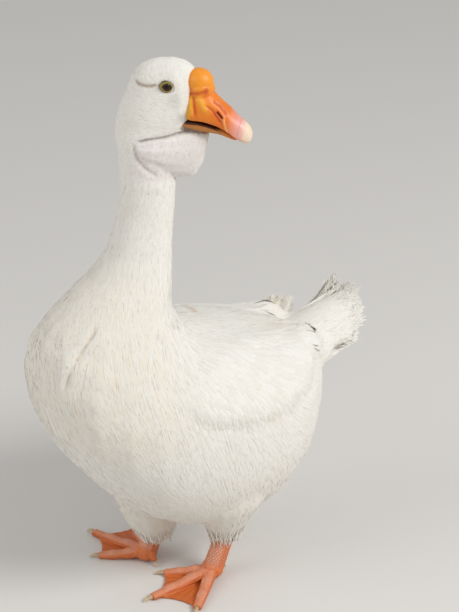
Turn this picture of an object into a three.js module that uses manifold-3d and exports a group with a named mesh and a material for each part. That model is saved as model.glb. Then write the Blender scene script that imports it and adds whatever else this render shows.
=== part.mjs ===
/**
 * A life-size domestic goose standing at rest, its head turned far round to its left.
 *
 * Millimetres, +Z up. The goose faces -Y and its left side is +X. The outline is that of the
 * plumage. Trunk, neck and head share smooth rounded forms, parted by thin plane cuts; wings,
 * thighs, tail, bill, legs, feet and claws are pieces of their own that stop just short of them.
 */
import * as THREE from 'three';
import { mergeVertices } from 'three/addons/utils/BufferGeometryUtils.js';
import Module from 'manifold-3d';

const wasm = await Module();
wasm.setup();

// ---------------------------------------------------------------- driving dimensions

const GAP = 0.3; // clearance between touching pieces
const FINE_GAP = 0.4; // clearance left by swelling a neighbour before it is cut away

// Trunk: from the breast tip to the vent, as heights above the floor at nine even stations.
const BREAST_Y = -250;
const VENT_Y = 160;
const TRUNK_TOP = [338, 384, 392, 387, 373, 352, 327, 300, 262];
const TRUNK_BOTTOM = [338, 269, 195, 122, 82, 79, 106, 168, 262];
const TRUNK_GIRTH = [338, 324, 296, 268, 248, 234, 228, 236, 264];
const TRUNK_HALF_WIDTH = [0, 61, 100, 119, 123, 115, 86, 47, 0];
const TRUNK_FULLNESS = 2.15; // 2 gives elliptical sections, more gives squarer ones
const TRUNK_MIDDLE = [0, -55, 235]; // the place that its surface is seen from

// Neck: level sections from inside the breast to inside the head.
const NECK_SECTIONS = [
  { z: 350, y: -160, long: 84, wide: 78 },
  { z: 385, y: -154, long: 82, wide: 76 },
  { z: 410, y: -145, long: 74, wide: 66 },
  { z: 433, y: -131, long: 62, wide: 57 },
  { z: 455, y: -115, long: 49, wide: 47 },
  { z: 478, y: -105, long: 40, wide: 40 },
  { z: 503, y: -99, long: 36, wide: 35.5 },
  { z: 530, y: -93, long: 33.5, wide: 33 },
  { z: 560, y: -90, long: 33, wide: 32.5 },
  { z: 590, y: -87, long: 34, wide: 33 },
  { z: 620, y: -85, long: 34, wide: 32 },
];
const NECK_BLEND = 42; // size of the fillet where the neck leaves the trunk
const NECK_FROM = 380; // heights that the faceted neck spans before it is cut
const NECK_TO = 590;

// Cuts between trunk, neck and head: a point on the middle line and how far the cut leans forward.
const NECK_BASE_CUT = { y: -120, z: 402, lean: -2 };
const NECK_MIDDLE_CUT = { y: -103, z: 486, lean: 10 };
const HEAD_CUT = { y: -88, z: 566, lean: 0 };

// Head: turned round to the left and held a little bill-down.
const HEAD_CENTRE = [0, -84.7, 633.4];
const HEAD_TURN = 135; // degrees from straight ahead towards the left
const HEAD_DIP = 12; // degrees
const HEAD_BLEND = 14;
const HEAD_MIDDLE = [0, -84.7, 655];

// Rounded lumps of the head, in the head frame: X left, Y back, Z up.
const CRANIUM = { centre: [0, -7, 46.5], radii: [24.5, 40, 38] };
const BROW = { centre: [0, -19, 57], radii: [16, 17, 27] };
const CHEEK = { centre: [0, -5, 20], radii: [26.5, 35, 29] };
const NAPE = { centre: [0, 4, -4], radii: [28, 36, 39] };
const MUZZLE = { centre: [0, -27, 42], radii: [16, 13, 32] };
const EYE_CENTRE = { side: 17, out: 11.5, up: 60 };
const EYE_RADIUS = 8.8;

// Bill and dewlap: sections in the head frame, 'out' ahead of the middle of the head.
const UPPER_BILL = [
  { out: 30, top: 66, bottom: 25, half: 17.5 },
  { out: 44, top: 66, bottom: 25, half: 19.5 },
  { out: 57, top: 63, bottom: 26, half: 19 },
  { out: 70, top: 56.5, bottom: 26, half: 17.5 },
  { out: 83, top: 49, bottom: 24, half: 16 },
  { out: 96, top: 41, bottom: 19.5, half: 14.5 },
  { out: 108, top: 33, bottom: 14.5, half: 12 },
  { out: 116, top: 26, bottom: 12, half: 8 },
  { out: 120, top: 20, bottom: 15, half: 2.5 },
];
const LOWER_BILL = [
  { out: 34, top: 30, bottom: 15, half: 16 },
  { out: 52, top: 30, bottom: 15.5, half: 16 },
  { out: 66, top: 30, bottom: 14.5, half: 14.5 },
  { out: 80, top: 28, bottom: 13.5, half: 13 },
  { out: 94, top: 24, bottom: 13, half: 10.5 },
  { out: 104, top: 20, bottom: 13, half: 6.5 },
];
const BILL_SQUARENESS = 2.3;
const NAIL_START = 105;
const KNOB = { centre: [0, -47, 70], radii: [14, 15.5, 15.5] };
const DEWLAP = [
  { out: -15, top: -16, bottom: -25, half: 28 },
  { out: -6, top: -9, bottom: -34, half: 35 },
  { out: 8, top: -1, bottom: -42, half: 37.5 },
  { out: 24, top: 7, bottom: -49, half: 34 },
  { out: 40, top: 12, bottom: -53, half: 25.5 },
  { out: 52, top: 14, bottom: -51, half: 18.5 },
  { out: 62, top: 13, bottom: -45, half: 13 },
  { out: 69, top: 10, bottom: -30, half: 6 },
];

// A folded wing is a rounded patch of the trunk's surface: its corners are places along the body
// and turns, in degrees, down from the middle of the back. It is thickest where the inner
// flight feathers stack up near its rear end.
const WING = {
  wristY: -128, shoulderY: -70, lowerRearY: 78, upperRearY: 161,
  upperTurnFront: 32, upperTurnRear: 6, lowerTurnFront: 78, lowerTurnRear: 76,
  lowerEdge: 10, upperEdge: 3, stack: 42, stackPlace: 0.97, stackSpread: 0.17,
  root: 8, squareness: 3.2,
};

// Tail: a fan arched like a roof, with the soft feathers above and below it.
const TAIL_ROOT = [0, 116, 266];
const TAIL_LENGTH = 133;
const TAIL_RISE = 33; // degrees above level
const TAIL_FEATHERS = 9;
const TAIL_ROUNDING = 0.4; // how much shorter the outermost feathers are
const TAIL_NOTCH = 6; // depth of the notches between the feather tips
const TAIL_SECTIONS = [
  { half: 46, above: 42, below: 46, arch: 4 },
  { half: 44, above: 35, below: 42, arch: 8 },
  { half: 43, above: 24, below: 30, arch: 14 },
  { half: 42, above: 11, below: 14, arch: 22 },
  { half: 41, above: 2, below: 0.9, arch: 31 },
];

// Feet: distances from the hub, where the toes meet the shank, and headings in degrees.
const TOE_LENGTH = { inner: 76, middle: 106, outer: 91, hind: 27 };
const TOE_SPREAD = { inner: 36, outer: 42, hind: 15 };
const HUB = { up: 13, half: 15, high: 14 };
const TOE = {
  rootHalfWide: 9.5, rootHalfHigh: 7.5, tipHalfWide: 6, tipHalfHigh: 4.6, sunk: 1,
  rootBehind: 2, knuckle: { at: 0.3, up: 8.4 }, joint: { at: 0.65, up: 5.2 },
};
const HIND_TOE = {
  course: [[4, 17], [14, 13], [19, 7]], rootHalfWide: 5.5, rootHalfHigh: 5.5,
  tipHalfWide: 3.6, tipHalfHigh: 3.8,
};
const WEB = { low: 0.8, high: 3.2, reach: 0.84, sag: 0.2 };
const CLAW = {
  length: 13, hidden: 3, crest: 0.6, rootUp: 4.2, crestUp: 4.6, tipUp: 1.4,
  halfWide: 3.4, halfHigh: 3.6, tip: 1,
};
const HIND_CLAW = { course: [[18, 7.4], [24, 5], [27, 1.8]], halfWide: 2.4, halfHigh: 2.6, tip: 1 };

// Legs: the shank runs from the hub to the hock, and the feathered thigh wraps its top.
const SHANK = { halfWide: 10, halfLong: 12.5, footFlare: 3, setBack: 2 };
const LEGS = {
  left: {
    side: 1, hub: [42, -29], toeOut: -1, hock: [45, 4, 92],
    thigh: [
      { at: [62, -14, 185], wide: 44, high: 58 },
      { at: [58, -14, 140], wide: 44, high: 54 },
      { at: [51, -13, 104], wide: 34, high: 38 },
      { at: [46, -13, 78], wide: 24, high: 26 },
      { at: [44, -14, 60], wide: 14, high: 16 },
    ],
  },
  right: {
    side: -1, hub: [-41.5, -78.5], toeOut: 73, hock: [-38, -44, 90],
    thigh: [
      { at: [-60, -56, 175], wide: 46, high: 66 },
      { at: [-56, -60, 125], wide: 46, high: 62 },
      { at: [-46, -63, 84], wide: 37, high: 50 },
      { at: [-38, -62, 55], wide: 26, high: 34 },
      { at: [-33, -56, 37], wide: 14, high: 18 },
    ],
  },
};

// How finely the rounded pieces are faceted: sides around, steps along.
const FACETS = {
  trunk: [28, 21], neck: [22, 15], head: [22, 15], eye: [12, 8], bill: [16, 10], knob: [14, 10],
  lowerBill: [12, 6], dewlap: [14, 9], wing: [20, 9], tail: [28, 6], thigh: [14, 7],
  shank: [10, 3], toe: [8, 3], hindToe: [8, 3], claw: [6, 3], ankle: [10, 7], webEdge: 5,
};

// ---------------------------------------------------------------- small helpers

const TINY = 1e-6;
const radians = THREE.MathUtils.degToRad;
const mix = THREE.MathUtils.lerp;

/** A smooth curve through values at even stations, read at 0..1. */
function through(values) {
  const curve = new THREE.CatmullRomCurve3(values.map((value) => new THREE.Vector3(value, 0, 0)));
  return (t) => curve.getPoint(THREE.MathUtils.clamp(t, 0, 1)).x;
}

/** Welds a stock geometry into one closed skin, then moves every vertex of it. */
function mould(stock, place) {
  stock.deleteAttribute('normal');
  stock.deleteAttribute('uv');
  const geometry = mergeVertices(stock);
  const position = geometry.attributes.position;
  const point = new THREE.Vector3();
  for (let i = 0; i < position.count; i += 1) {
    point.fromBufferAttribute(position, i);
    place(point);
    position.setXYZ(i, point.x, point.y, point.z);
  }
  return geometry;
}

/** Turns a welded geometry into a solid with its faces pointing out. */
function solid(geometry) {
  const vertProperties = new Float32Array(geometry.attributes.position.array);
  const triVerts = new Uint32Array(geometry.index.array);
  const kept = [];
  for (let i = 0; i < triVerts.length; i += 3) {
    const [a, b, c] = triVerts.subarray(i, i + 3);
    if (a !== b && b !== c && c !== a) kept.push(a, b, c);
  }
  if (signedVolume(vertProperties, kept) < 0) {
    for (let i = 0; i < kept.length; i += 3) [kept[i], kept[i + 1]] = [kept[i + 1], kept[i]];
  }
  const mesh = new wasm.Mesh({ numProp: 3, vertProperties, triVerts: Uint32Array.from(kept) });
  return new wasm.Manifold(mesh);
}

function signedVolume(xyz, triangles) {
  let volume = 0;
  for (let i = 0; i < triangles.length; i += 3) {
    const [a, b, c] = [0, 1, 2].map(
      (corner) => new THREE.Vector3().fromArray(xyz, 3 * triangles[i + corner]),
    );
    volume += a.dot(b.cross(c)) / 6;
  }
  return volume;
}

/** The largest body of a solid as a three.js geometry. */
function toGeometry(body) {
  const largest = body.decompose().sort((a, b) => b.volume() - a.volume())[0];
  const mesh = largest.getMesh();
  const geometry = new THREE.BufferGeometry();
  const positions = new Float32Array(mesh.vertProperties);
  geometry.setAttribute('position', new THREE.BufferAttribute(positions, 3));
  geometry.setIndex(new THREE.BufferAttribute(new Uint32Array(mesh.triVerts), 1));
  return geometry;
}

/** Outward directions at the vertices, each face counting by its angle there. */
function cornerNormals(position, index) {
  const corners = [0, 1, 2].map(() => new THREE.Vector3());
  const normals = Array.from({ length: position.count }, () => new THREE.Vector3());
  const face = new THREE.Triangle(...corners);
  const faceNormal = new THREE.Vector3();
  for (let i = 0; i < index.count; i += 3) {
    corners.forEach((corner, k) => corner.fromBufferAttribute(position, index.getX(i + k)));
    face.set(...corners).getNormal(faceNormal);
    corners.forEach((corner, k) => {
      const next = corners[(k + 1) % 3].clone().sub(corner);
      const last = corners[(k + 2) % 3].clone().sub(corner);
      normals[index.getX(i + k)].addScaledVector(faceNormal, next.angleTo(last));
    });
  }
  return normals.map((normal) => normal.normalize());
}

/** The same solid swollen outward by a small distance. */
function swollen(body, distance) {
  const geometry = toGeometry(body);
  const { position } = geometry.attributes;
  cornerNormals(position, geometry.index).forEach((normal, i) => {
    const point = new THREE.Vector3().fromBufferAttribute(position, i).addScaledVector(normal, distance);
    position.setXYZ(i, point.x, point.y, point.z);
  });
  return solid(geometry);
}

/** Cuts a piece back so that it clears every neighbour. */
function clearOf(body, ...neighbours) {
  return neighbours.reduce(
    (left, neighbour) => left.subtract(swollen(neighbour, FINE_GAP)).subtract(neighbour), body,
  );
}

const UPWARD = new THREE.Vector3(0, 0, 1);
const AHEAD = new THREE.Vector3(0, -1, 0);

/** A closed tube through sections, each with its centre, half width and half height. */
function loft(sections, options) {
  const { facets: [around, steps], up = UPWARD, squareness = 2, facing } = options;
  const centres = new THREE.CatmullRomCurve3(sections.map((s) => new THREE.Vector3(...s.at)));
  const sizes = new THREE.CatmullRomCurve3(sections.map((s) => new THREE.Vector3(s.wide, s.high, 0)));
  const axis = new THREE.Vector3();
  const side = new THREE.Vector3();
  const rise = new THREE.Vector3();
  const tube = mould(new THREE.CylinderGeometry(1, 1, 1, around, steps), (point) => {
    const t = point.y + 0.5;
    const centre = centres.getPoint(t);
    const size = sizes.getPoint(t);
    axis.copy(facing ?? centres.getTangent(t));
    side.crossVectors(axis, up).normalize();
    rise.crossVectors(side, axis).normalize();
    const onRim = Math.hypot(point.x, point.z) > 0.5;
    const bulge = onRim ? superRadius(point.x, point.z, squareness) : 0;
    const across = point.x * bulge * size.x;
    const upward = point.z * bulge * size.y;
    point.copy(centre).addScaledVector(side, across).addScaledVector(rise, upward);
  });
  return solid(tube);
}

/** How far a point of the unit circle moves out to lie on a superellipse. */
function superRadius(x, y, power) {
  return (Math.abs(x) ** power + Math.abs(y) ** power) ** (-1 / power);
}

/** A slab with its lower face through a point of the middle line, leaning forward. */
function halfSpace({ y, z, lean }, above, offset) {
  const SIZE = 1200;
  const box = new THREE.BoxGeometry(SIZE, SIZE, SIZE);
  box.translate(0, 0, (above ? 1 : -1) * (SIZE / 2 + offset));
  box.rotateX(-radians(lean));
  box.translate(0, y, z);
  return solid(mould(box, () => {}));
}

/** Parts a solid along a plane, leaving the gap between the two sides. */
function above(body, cut) {
  return body.intersect(halfSpace(cut, true, GAP / 2));
}

function below(body, cut) {
  return body.intersect(halfSpace(cut, false, GAP / 2));
}

// ---------------------------------------------------------------- rounded forms

/** Joins two forms (negative inside) with a fillet of the given size. */
function blend(a, b, size) {
  const overlap = Math.max(size - Math.abs(a - b), 0) / size;
  return Math.min(a, b) - (overlap * overlap * size) / 4;
}

function egg(point, centre, radii) {
  const q = Math.hypot(
    (point.x - centre[0]) / radii[0],
    (point.y - centre[1]) / radii[1],
    (point.z - centre[2]) / radii[2],
  );
  return (q - 1) * Math.min(...radii);
}

const trunkTop = through(TRUNK_TOP);
const trunkBottom = through(TRUNK_BOTTOM);
const trunkGirth = through(TRUNK_GIRTH);
const trunkHalfWidth = through(TRUNK_HALF_WIDTH);

/** Stations crowd towards both ends of the trunk so that they come out round. */
function trunkStation(y) {
  const along = THREE.MathUtils.clamp((y - BREAST_Y) / (VENT_Y - BREAST_Y), 0, 1);
  return Math.acos(1 - 2 * along) / Math.PI;
}

function trunkForm(point) {
  const t = trunkStation(point.y);
  const middle = trunkGirth(t);
  const height = point.z > middle ? trunkTop(t) - middle : middle - trunkBottom(t);
  const halfWidth = Math.max(trunkHalfWidth(t), 0.01);
  const reach = Math.max(height, 0.01);
  const power = TRUNK_FULLNESS;
  const q = ((Math.abs(point.x) / halfWidth) ** power
    + (Math.abs(point.z - middle) / reach) ** power) ** (1 / power);
  const beyond = Math.max(BREAST_Y - point.y, point.y - VENT_Y, 0);
  return (q - 1) * Math.min(halfWidth, reach) + beyond;
}

const neckStations = NECK_SECTIONS.map((s) => s.z);
const neckY = through(NECK_SECTIONS.map((s) => s.y));
const neckLong = through(NECK_SECTIONS.map((s) => s.long));
const neckWide = through(NECK_SECTIONS.map((s) => s.wide));

function neckStation(z) {
  const last = neckStations.length - 1;
  let i = 0;
  while (i < last - 1 && z > neckStations[i + 1]) i += 1;
  const within = (z - neckStations[i]) / (neckStations[i + 1] - neckStations[i]);
  return THREE.MathUtils.clamp((i + within) / last, 0, 1);
}

function neckForm(point) {
  const t = neckStation(point.z);
  const long = neckLong(t);
  const wide = neckWide(t);
  const q = Math.hypot(point.x / wide, (point.y - neckY(t)) / long);
  const beyond = Math.max(neckStations[0] - point.z, point.z - neckStations.at(-1), 0);
  return (q - 1) * Math.min(long, wide) + beyond;
}

// Head frame: X to the goose's left, Y back, Z up, as on the whole goose, before the turn.
const headPlace = new THREE.Matrix4()
  .makeTranslation(...HEAD_CENTRE)
  .multiply(new THREE.Matrix4().makeRotationZ(radians(HEAD_TURN)))
  .multiply(new THREE.Matrix4().makeRotationX(radians(HEAD_DIP)));
const headPlaceInverse = headPlace.clone().invert();

function headForm(world) {
  const point = world.clone().applyMatrix4(headPlaceInverse);
  return [BROW, CHEEK, NAPE, MUZZLE].reduce(
    (form, lump) => blend(form, egg(point, lump.centre, lump.radii), HEAD_BLEND),
    egg(point, CRANIUM.centre, CRANIUM.radii),
  );
}

function bodyForm(point) {
  return blend(blend(trunkForm(point), neckForm(point), NECK_BLEND), headForm(point), HEAD_BLEND);
}

/** How far a ray runs from a point inside a form to its surface. */
function reachOf(form, start, direction) {
  const STEP = 6;
  const LIMIT = 420;
  const HALVINGS = 14;
  const probe = new THREE.Vector3();
  const inside = (distance) => form(probe.copy(start).addScaledVector(direction, distance)) < 0;
  let far = STEP;
  while (far < LIMIT && inside(far)) far += STEP;
  let near = far - STEP;
  for (let i = 0; i < HALVINGS; i += 1) {
    const middle = (near + far) / 2;
    if (inside(middle)) near = middle;
    else far = middle;
  }
  return near;
}

/** A ball stretched onto a form, its poles ahead and behind. */
function wrappedBall(form, centre, [across, along]) {
  const start = new THREE.Vector3(...centre);
  const ball = new THREE.SphereGeometry(1, across, along).rotateX(Math.PI / 2);
  return solid(mould(ball, (point) => {
    const direction = point.clone().normalize();
    point.copy(start).addScaledVector(direction, reachOf(form, start, direction));
  }));
}

/** A tube of level rings stretched onto a form round a rising middle line. */
function wrappedColumn(form, from, to, [around, steps]) {
  const start = new THREE.Vector3();
  const column = new THREE.CylinderGeometry(1, 1, 1, around, steps);
  return solid(mould(column, (point) => {
    const z = mix(from, to, point.y + 0.5);
    start.set(0, neckY(neckStation(z)), z);
    const radius = Math.hypot(point.x, point.z);
    const direction = new THREE.Vector3(point.x, -point.z, 0).normalize();
    const reach = radius > 0.5 ? reachOf(form, start, direction) : 0;
    point.copy(start).addScaledVector(direction, reach);
  }));
}

// ---------------------------------------------------------------- the group and its materials

const goose = new THREE.Group();

const finish = (color, roughness) => new THREE.MeshStandardMaterial({ color, roughness, metalness: 0 });
const PLUMAGE = () => finish(0xf4f2ec, 0.85);
const ORANGE = () => finish(0xf08a1e, 0.5);
const SKIN = () => finish(0xd9743c, 0.6);
const HORN = () => finish(0xe8cfae, 0.4);
const EYE = () => finish(0x2a1c10, 0.1);

function add(name, body, material) {
  const mesh = new THREE.Mesh(toGeometry(body), material);
  mesh.name = name;
  goose.add(mesh);
}

// ---------------------------------------------------------------- trunk and neck

const trunkBall = wrappedBall(bodyForm, TRUNK_MIDDLE, FACETS.trunk);
const trunk = below(trunkBall, NECK_BASE_CUT);

const neckColumn = wrappedColumn(bodyForm, NECK_FROM, NECK_TO, FACETS.neck);
const neckLower = below(above(neckColumn, NECK_BASE_CUT), NECK_MIDDLE_CUT);
const neckUpper = below(above(neckColumn, NECK_MIDDLE_CUT), HEAD_CUT);

// ---------------------------------------------------------------- head

const headBall = wrappedBall(bodyForm, HEAD_MIDDLE, FACETS.head);
const head = above(headBall, HEAD_CUT);

const inHeadFrame = (body) => body.transform(headPlace.toArray());

/** A loft through rows of the head frame, its sections square to straight ahead. */
function headLoft(rows, options) {
  const sections = rows.map(({ out, top, bottom, half }) => (
    { at: [0, -out, (top + bottom) / 2], wide: half, high: (top - bottom) / 2 }
  ));
  return inHeadFrame(loft(sections, { facing: AHEAD, ...options }));
}

function roundEgg({ centre, radii }, [across, along]) {
  const ball = new THREE.SphereGeometry(1, across, along).rotateX(Math.PI / 2);
  return solid(mould(ball, (point) => {
    point.multiply(new THREE.Vector3(...radii)).add(new THREE.Vector3(...centre));
  }));
}

/** Everything further out than a place along the bill. */
function headSlab(out) {
  const SIZE = 400;
  const box = new THREE.BoxGeometry(SIZE, SIZE, SIZE).translate(0, -SIZE / 2 - out, 0);
  return inHeadFrame(solid(mould(box, () => {})));
}

const eyeAt = (side) => ({
  centre: [side * EYE_CENTRE.side, -EYE_CENTRE.out, EYE_CENTRE.up],
  radii: [EYE_RADIUS, EYE_RADIUS, EYE_RADIUS],
});
const eyeLeft = inHeadFrame(roundEgg(eyeAt(1), FACETS.eye));
const eyeRight = inHeadFrame(roundEgg(eyeAt(-1), FACETS.eye));
const headWithSockets = clearOf(head, eyeLeft, eyeRight);

const wholeUpperBill = clearOf(
  headLoft(UPPER_BILL, { facets: FACETS.bill, squareness: BILL_SQUARENESS }), head,
);
const upperBill = wholeUpperBill.subtract(headSlab(NAIL_START - GAP / 2));
const nail = wholeUpperBill.intersect(headSlab(NAIL_START + GAP / 2));
const knob = clearOf(inHeadFrame(roundEgg(KNOB, FACETS.knob)), head, wholeUpperBill);
const lowerBill = clearOf(
  headLoft(LOWER_BILL, { facets: FACETS.lowerBill }), head, wholeUpperBill,
);
const dewlap = clearOf(
  headLoft(DEWLAP, { facets: FACETS.dewlap }), head, neckUpper, wholeUpperBill, lowerBill,
);

// ---------------------------------------------------------------- wings

/** A point of the trunk's surface, lifted outward; the turn is in degrees from straight up. */
function onTrunk(y, turn, lift) {
  const start = new THREE.Vector3(0, y, trunkGirth(trunkStation(y)));
  const direction = new THREE.Vector3(Math.sin(radians(turn)), 0, Math.cos(radians(turn)));
  const reach = reachOf(trunkForm, start, direction);
  return start.addScaledVector(direction, reach + lift);
}

function wingOn(side) {
  const ball = new THREE.SphereGeometry(1, ...FACETS.wing).rotateX(Math.PI / 2);
  return solid(mould(ball, (point) => {
    const radius = Math.hypot(point.x, point.y);
    const spread = radius > TINY
      ? superRadius(point.x / radius, point.y / radius, WING.squareness) : 0;
    const along = (point.x * spread + 1) / 2;
    const upward = (point.y * spread + 1) / 2;
    const front = mix(WING.wristY, WING.shoulderY, upward);
    const rear = mix(WING.lowerRearY, WING.upperRearY, upward);
    const upperTurn = mix(WING.upperTurnFront, WING.upperTurnRear, along);
    const lowerTurn = mix(WING.lowerTurnFront, WING.lowerTurnRear, along);
    const nearStack = Math.exp(-(((along - WING.stackPlace) / WING.stackSpread) ** 2));
    const thickness = mix(WING.lowerEdge, WING.upperEdge, upward) + WING.stack * nearStack * upward;
    const lift = point.z > 0 ? thickness * Math.sqrt(point.z) : WING.root * point.z;
    const place = onTrunk(mix(front, rear, along), mix(lowerTurn, upperTurn, upward), lift);
    point.set(side * place.x, place.y, place.z);
  }));
}

const wingLeft = clearOf(wingOn(1), trunk, neckLower);
const wingRight = clearOf(wingOn(-1), trunk, neckLower, wingLeft);

// ---------------------------------------------------------------- tail

const tailPlace = new THREE.Matrix4()
  .makeTranslation(...TAIL_ROOT)
  .multiply(new THREE.Matrix4().makeRotationX(radians(TAIL_RISE)));

const tailHalf = through(TAIL_SECTIONS.map((s) => s.half));
const tailAbove = through(TAIL_SECTIONS.map((s) => s.above));
const tailBelow = through(TAIL_SECTIONS.map((s) => s.below));
const tailArch = through(TAIL_SECTIONS.map((s) => s.arch));

function tailFan() {
  const fan = new THREE.CylinderGeometry(1, 1, 1, ...FACETS.tail);
  return solid(mould(fan, (point) => {
    const t = point.y + 0.5;
    const across = point.x;
    const upward = -point.z;
    const notch = 1 - Math.abs(Math.cos((across * TAIL_FEATHERS * Math.PI) / 2));
    const reach = TAIL_LENGTH * (1 - TAIL_ROUNDING * across * across) - TAIL_NOTCH * notch * t;
    const depth = upward > 0 ? tailAbove(t) : tailBelow(t);
    point.set(across * tailHalf(t), t * reach, upward * depth - tailArch(t) * across * across);
  })).transform(tailPlace.toArray());
}

const tail = clearOf(tailFan(), trunk, wingLeft, wingRight);

// ---------------------------------------------------------------- legs

/** A direction on the floor, in degrees from straight ahead towards the left side. */
function heading(degrees) {
  return new THREE.Vector3(Math.sin(radians(degrees)), -Math.cos(radians(degrees)), 0);
}

function toeHeadings({ side, toeOut }) {
  const middle = side * toeOut;
  return {
    inner: middle - side * TOE_SPREAD.inner,
    middle,
    outer: middle + side * TOE_SPREAD.outer,
    hind: middle + 180 + side * TOE_SPREAD.hind,
  };
}

/** A closed tube along a course of points, thinning from its root to its tip. */
function taper(course, root, tip, options) {
  const sections = course.map((at, i) => {
    const t = i / (course.length - 1);
    return { at, wide: mix(root[0], tip[0], t), high: mix(root[1], tip[1], t) };
  });
  return loft(sections, options);
}

/** A place beside the hub of a foot. */
function beside(hub, degrees, distance, up) {
  const way = heading(degrees);
  return [hub[0] + way.x * distance, hub[1] + way.y * distance, up];
}

function courseFrom(hub, degrees, steps) {
  return steps.map(([distance, up]) => beside(hub, degrees, distance, up));
}

function frontToe(hub, degrees, length) {
  const flesh = length - CLAW.length;
  const course = courseFrom(hub, degrees, [
    [-TOE.rootBehind, HUB.up],
    [flesh * TOE.knuckle.at, TOE.knuckle.up],
    [flesh * TOE.joint.at, TOE.joint.up],
    [flesh, TOE.tipHalfHigh - TOE.sunk],
  ]);
  const root = [TOE.rootHalfWide, TOE.rootHalfHigh];
  return taper(course, root, [TOE.tipHalfWide, TOE.tipHalfHigh], { facets: FACETS.toe });
}

function frontClaw(hub, degrees, length) {
  const start = length - CLAW.length;
  const course = courseFrom(hub, degrees, [
    [start - CLAW.hidden, CLAW.rootUp],
    [start + CLAW.length * CLAW.crest, CLAW.crestUp],
    [length, CLAW.tipUp],
  ]);
  return taper(course, [CLAW.halfWide, CLAW.halfHigh], [CLAW.tip, CLAW.tip], { facets: FACETS.claw });
}

function hindToe(hub, degrees) {
  const root = [HIND_TOE.rootHalfWide, HIND_TOE.rootHalfHigh];
  const tip = [HIND_TOE.tipHalfWide, HIND_TOE.tipHalfHigh];
  return taper(courseFrom(hub, degrees, HIND_TOE.course), root, tip, { facets: FACETS.hindToe });
}

function hindClaw(hub, degrees) {
  const root = [HIND_CLAW.halfWide, HIND_CLAW.halfHigh];
  const tip = [HIND_CLAW.tip, HIND_CLAW.tip];
  return taper(courseFrom(hub, degrees, HIND_CLAW.course), root, tip, { facets: FACETS.claw });
}

/** The skin between two toes, its free edge drawn back towards the hub. */
function web(hub, degreesA, lengthA, degreesB, lengthB) {
  const a = beside(hub, degreesA, lengthA * WEB.reach, 0);
  const b = beside(hub, degreesB, lengthB * WEB.reach, 0);
  const draw = 1 - WEB.sag;
  const between = [0, 1].map((i) => mix(hub[i], (a[i] + b[i]) / 2, draw));
  const outline = new THREE.Shape();
  outline.moveTo(hub[0], hub[1]);
  outline.lineTo(a[0], a[1]);
  outline.quadraticCurveTo(between[0], between[1], b[0], b[1]);
  outline.closePath();
  const skin = new THREE.ExtrudeGeometry(outline, {
    depth: WEB.high - WEB.low, bevelEnabled: false, curveSegments: FACETS.webEdge,
  });
  return solid(mould(skin.translate(0, 0, WEB.low), () => {}));
}

function floorBlock() {
  const SIZE = 1000;
  return solid(mould(new THREE.BoxGeometry(SIZE, SIZE, SIZE).translate(0, 0, -SIZE / 2), () => {}));
}

const floor = floorBlock();
const FRONT_TOES = ['inner', 'middle', 'outer'];

/** A foot of three webbed front toes and a short hind toe, flat underneath where it stands. */
function footOf(hub, turns) {
  const ankle = roundEgg(
    { centre: [hub[0], hub[1], HUB.up], radii: [HUB.half, HUB.half, HUB.high] }, FACETS.ankle,
  );
  const pieces = [
    ...FRONT_TOES.map((toe) => frontToe(hub, turns[toe], TOE_LENGTH[toe])),
    hindToe(hub, turns.hind),
    web(hub, turns.inner, TOE_LENGTH.inner, turns.middle, TOE_LENGTH.middle),
    web(hub, turns.middle, TOE_LENGTH.middle, turns.outer, TOE_LENGTH.outer),
  ];
  return pieces.reduce((foot, piece) => foot.add(piece), ankle).subtract(floor);
}

function shankOf(hub, hock) {
  const ankle = [hub[0], hub[1] + SHANK.setBack, HUB.up + SHANK.setBack];
  const middle = [0, 1, 2].map((i) => mix([...hub, HUB.up][i], hock[i], 0.5));
  const lower = [SHANK.halfWide + SHANK.footFlare, SHANK.halfLong + SHANK.setBack];
  const upper = [SHANK.halfWide, SHANK.halfLong];
  return taper([ankle, middle, hock], lower, upper, { facets: FACETS.shank, up: AHEAD });
}

function addLeg(name, leg) {
  const turns = toeHeadings(leg);
  const foot = footOf(leg.hub, turns);
  const thigh = clearOf(
    loft(leg.thigh, { facets: FACETS.thigh, up: AHEAD }), trunk, wingLeft, wingRight,
  );
  add(`thigh_${name}`, thigh, PLUMAGE());
  add(`shank_${name}`, clearOf(shankOf(leg.hub, leg.hock), foot, thigh), SKIN());
  add(`foot_${name}`, foot, SKIN());
  FRONT_TOES.forEach((toe) => {
    const claw = frontClaw(leg.hub, turns[toe], TOE_LENGTH[toe]);
    add(`claw_${name}_${toe}`, clearOf(claw, foot), HORN());
  });
  add(`claw_${name}_hind`, clearOf(hindClaw(leg.hub, turns.hind), foot), HORN());
}

// ---------------------------------------------------------------- assembly

add('trunk', trunk, PLUMAGE());
add('neck_lower', neckLower, PLUMAGE());
add('neck_upper', neckUpper, PLUMAGE());
add('head', headWithSockets, PLUMAGE());
add('eye_left', eyeLeft, EYE());
add('eye_right', eyeRight, EYE());
add('bill_upper', upperBill, ORANGE());
add('nail', nail, HORN());
add('knob', knob, ORANGE());
add('bill_lower', lowerBill, ORANGE());
add('dewlap', dewlap, PLUMAGE());
add('wing_left', wingLeft, PLUMAGE());
add('wing_right', wingRight, PLUMAGE());
add('tail', tail, PLUMAGE());
Object.entries(LEGS).forEach(([name, leg]) => addLeg(name, leg));

// The goose stands on the floor with the middle of its outline over the origin.
const outline = new THREE.Box3().setFromObject(goose);
const middle = outline.getCenter(new THREE.Vector3());
goose.position.set(-middle.x, -middle.y, -outline.min.z);

export default goose;
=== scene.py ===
"""A life-size domestic goose: skin, feather coat, bill, eyes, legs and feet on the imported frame.

Metres, +Z up; the goose faces -Y and its left is +X. The head has a frame of its own, turned and
dipped: 'side' to the goose's left, 'out' towards the bill's tip, 'up' from the chin to the crown.
"""

import math

import bmesh
import bpy
import numpy as np
from mathutils import Matrix, Vector, noise
from mathutils.bvhtree import BVHTree


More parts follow.
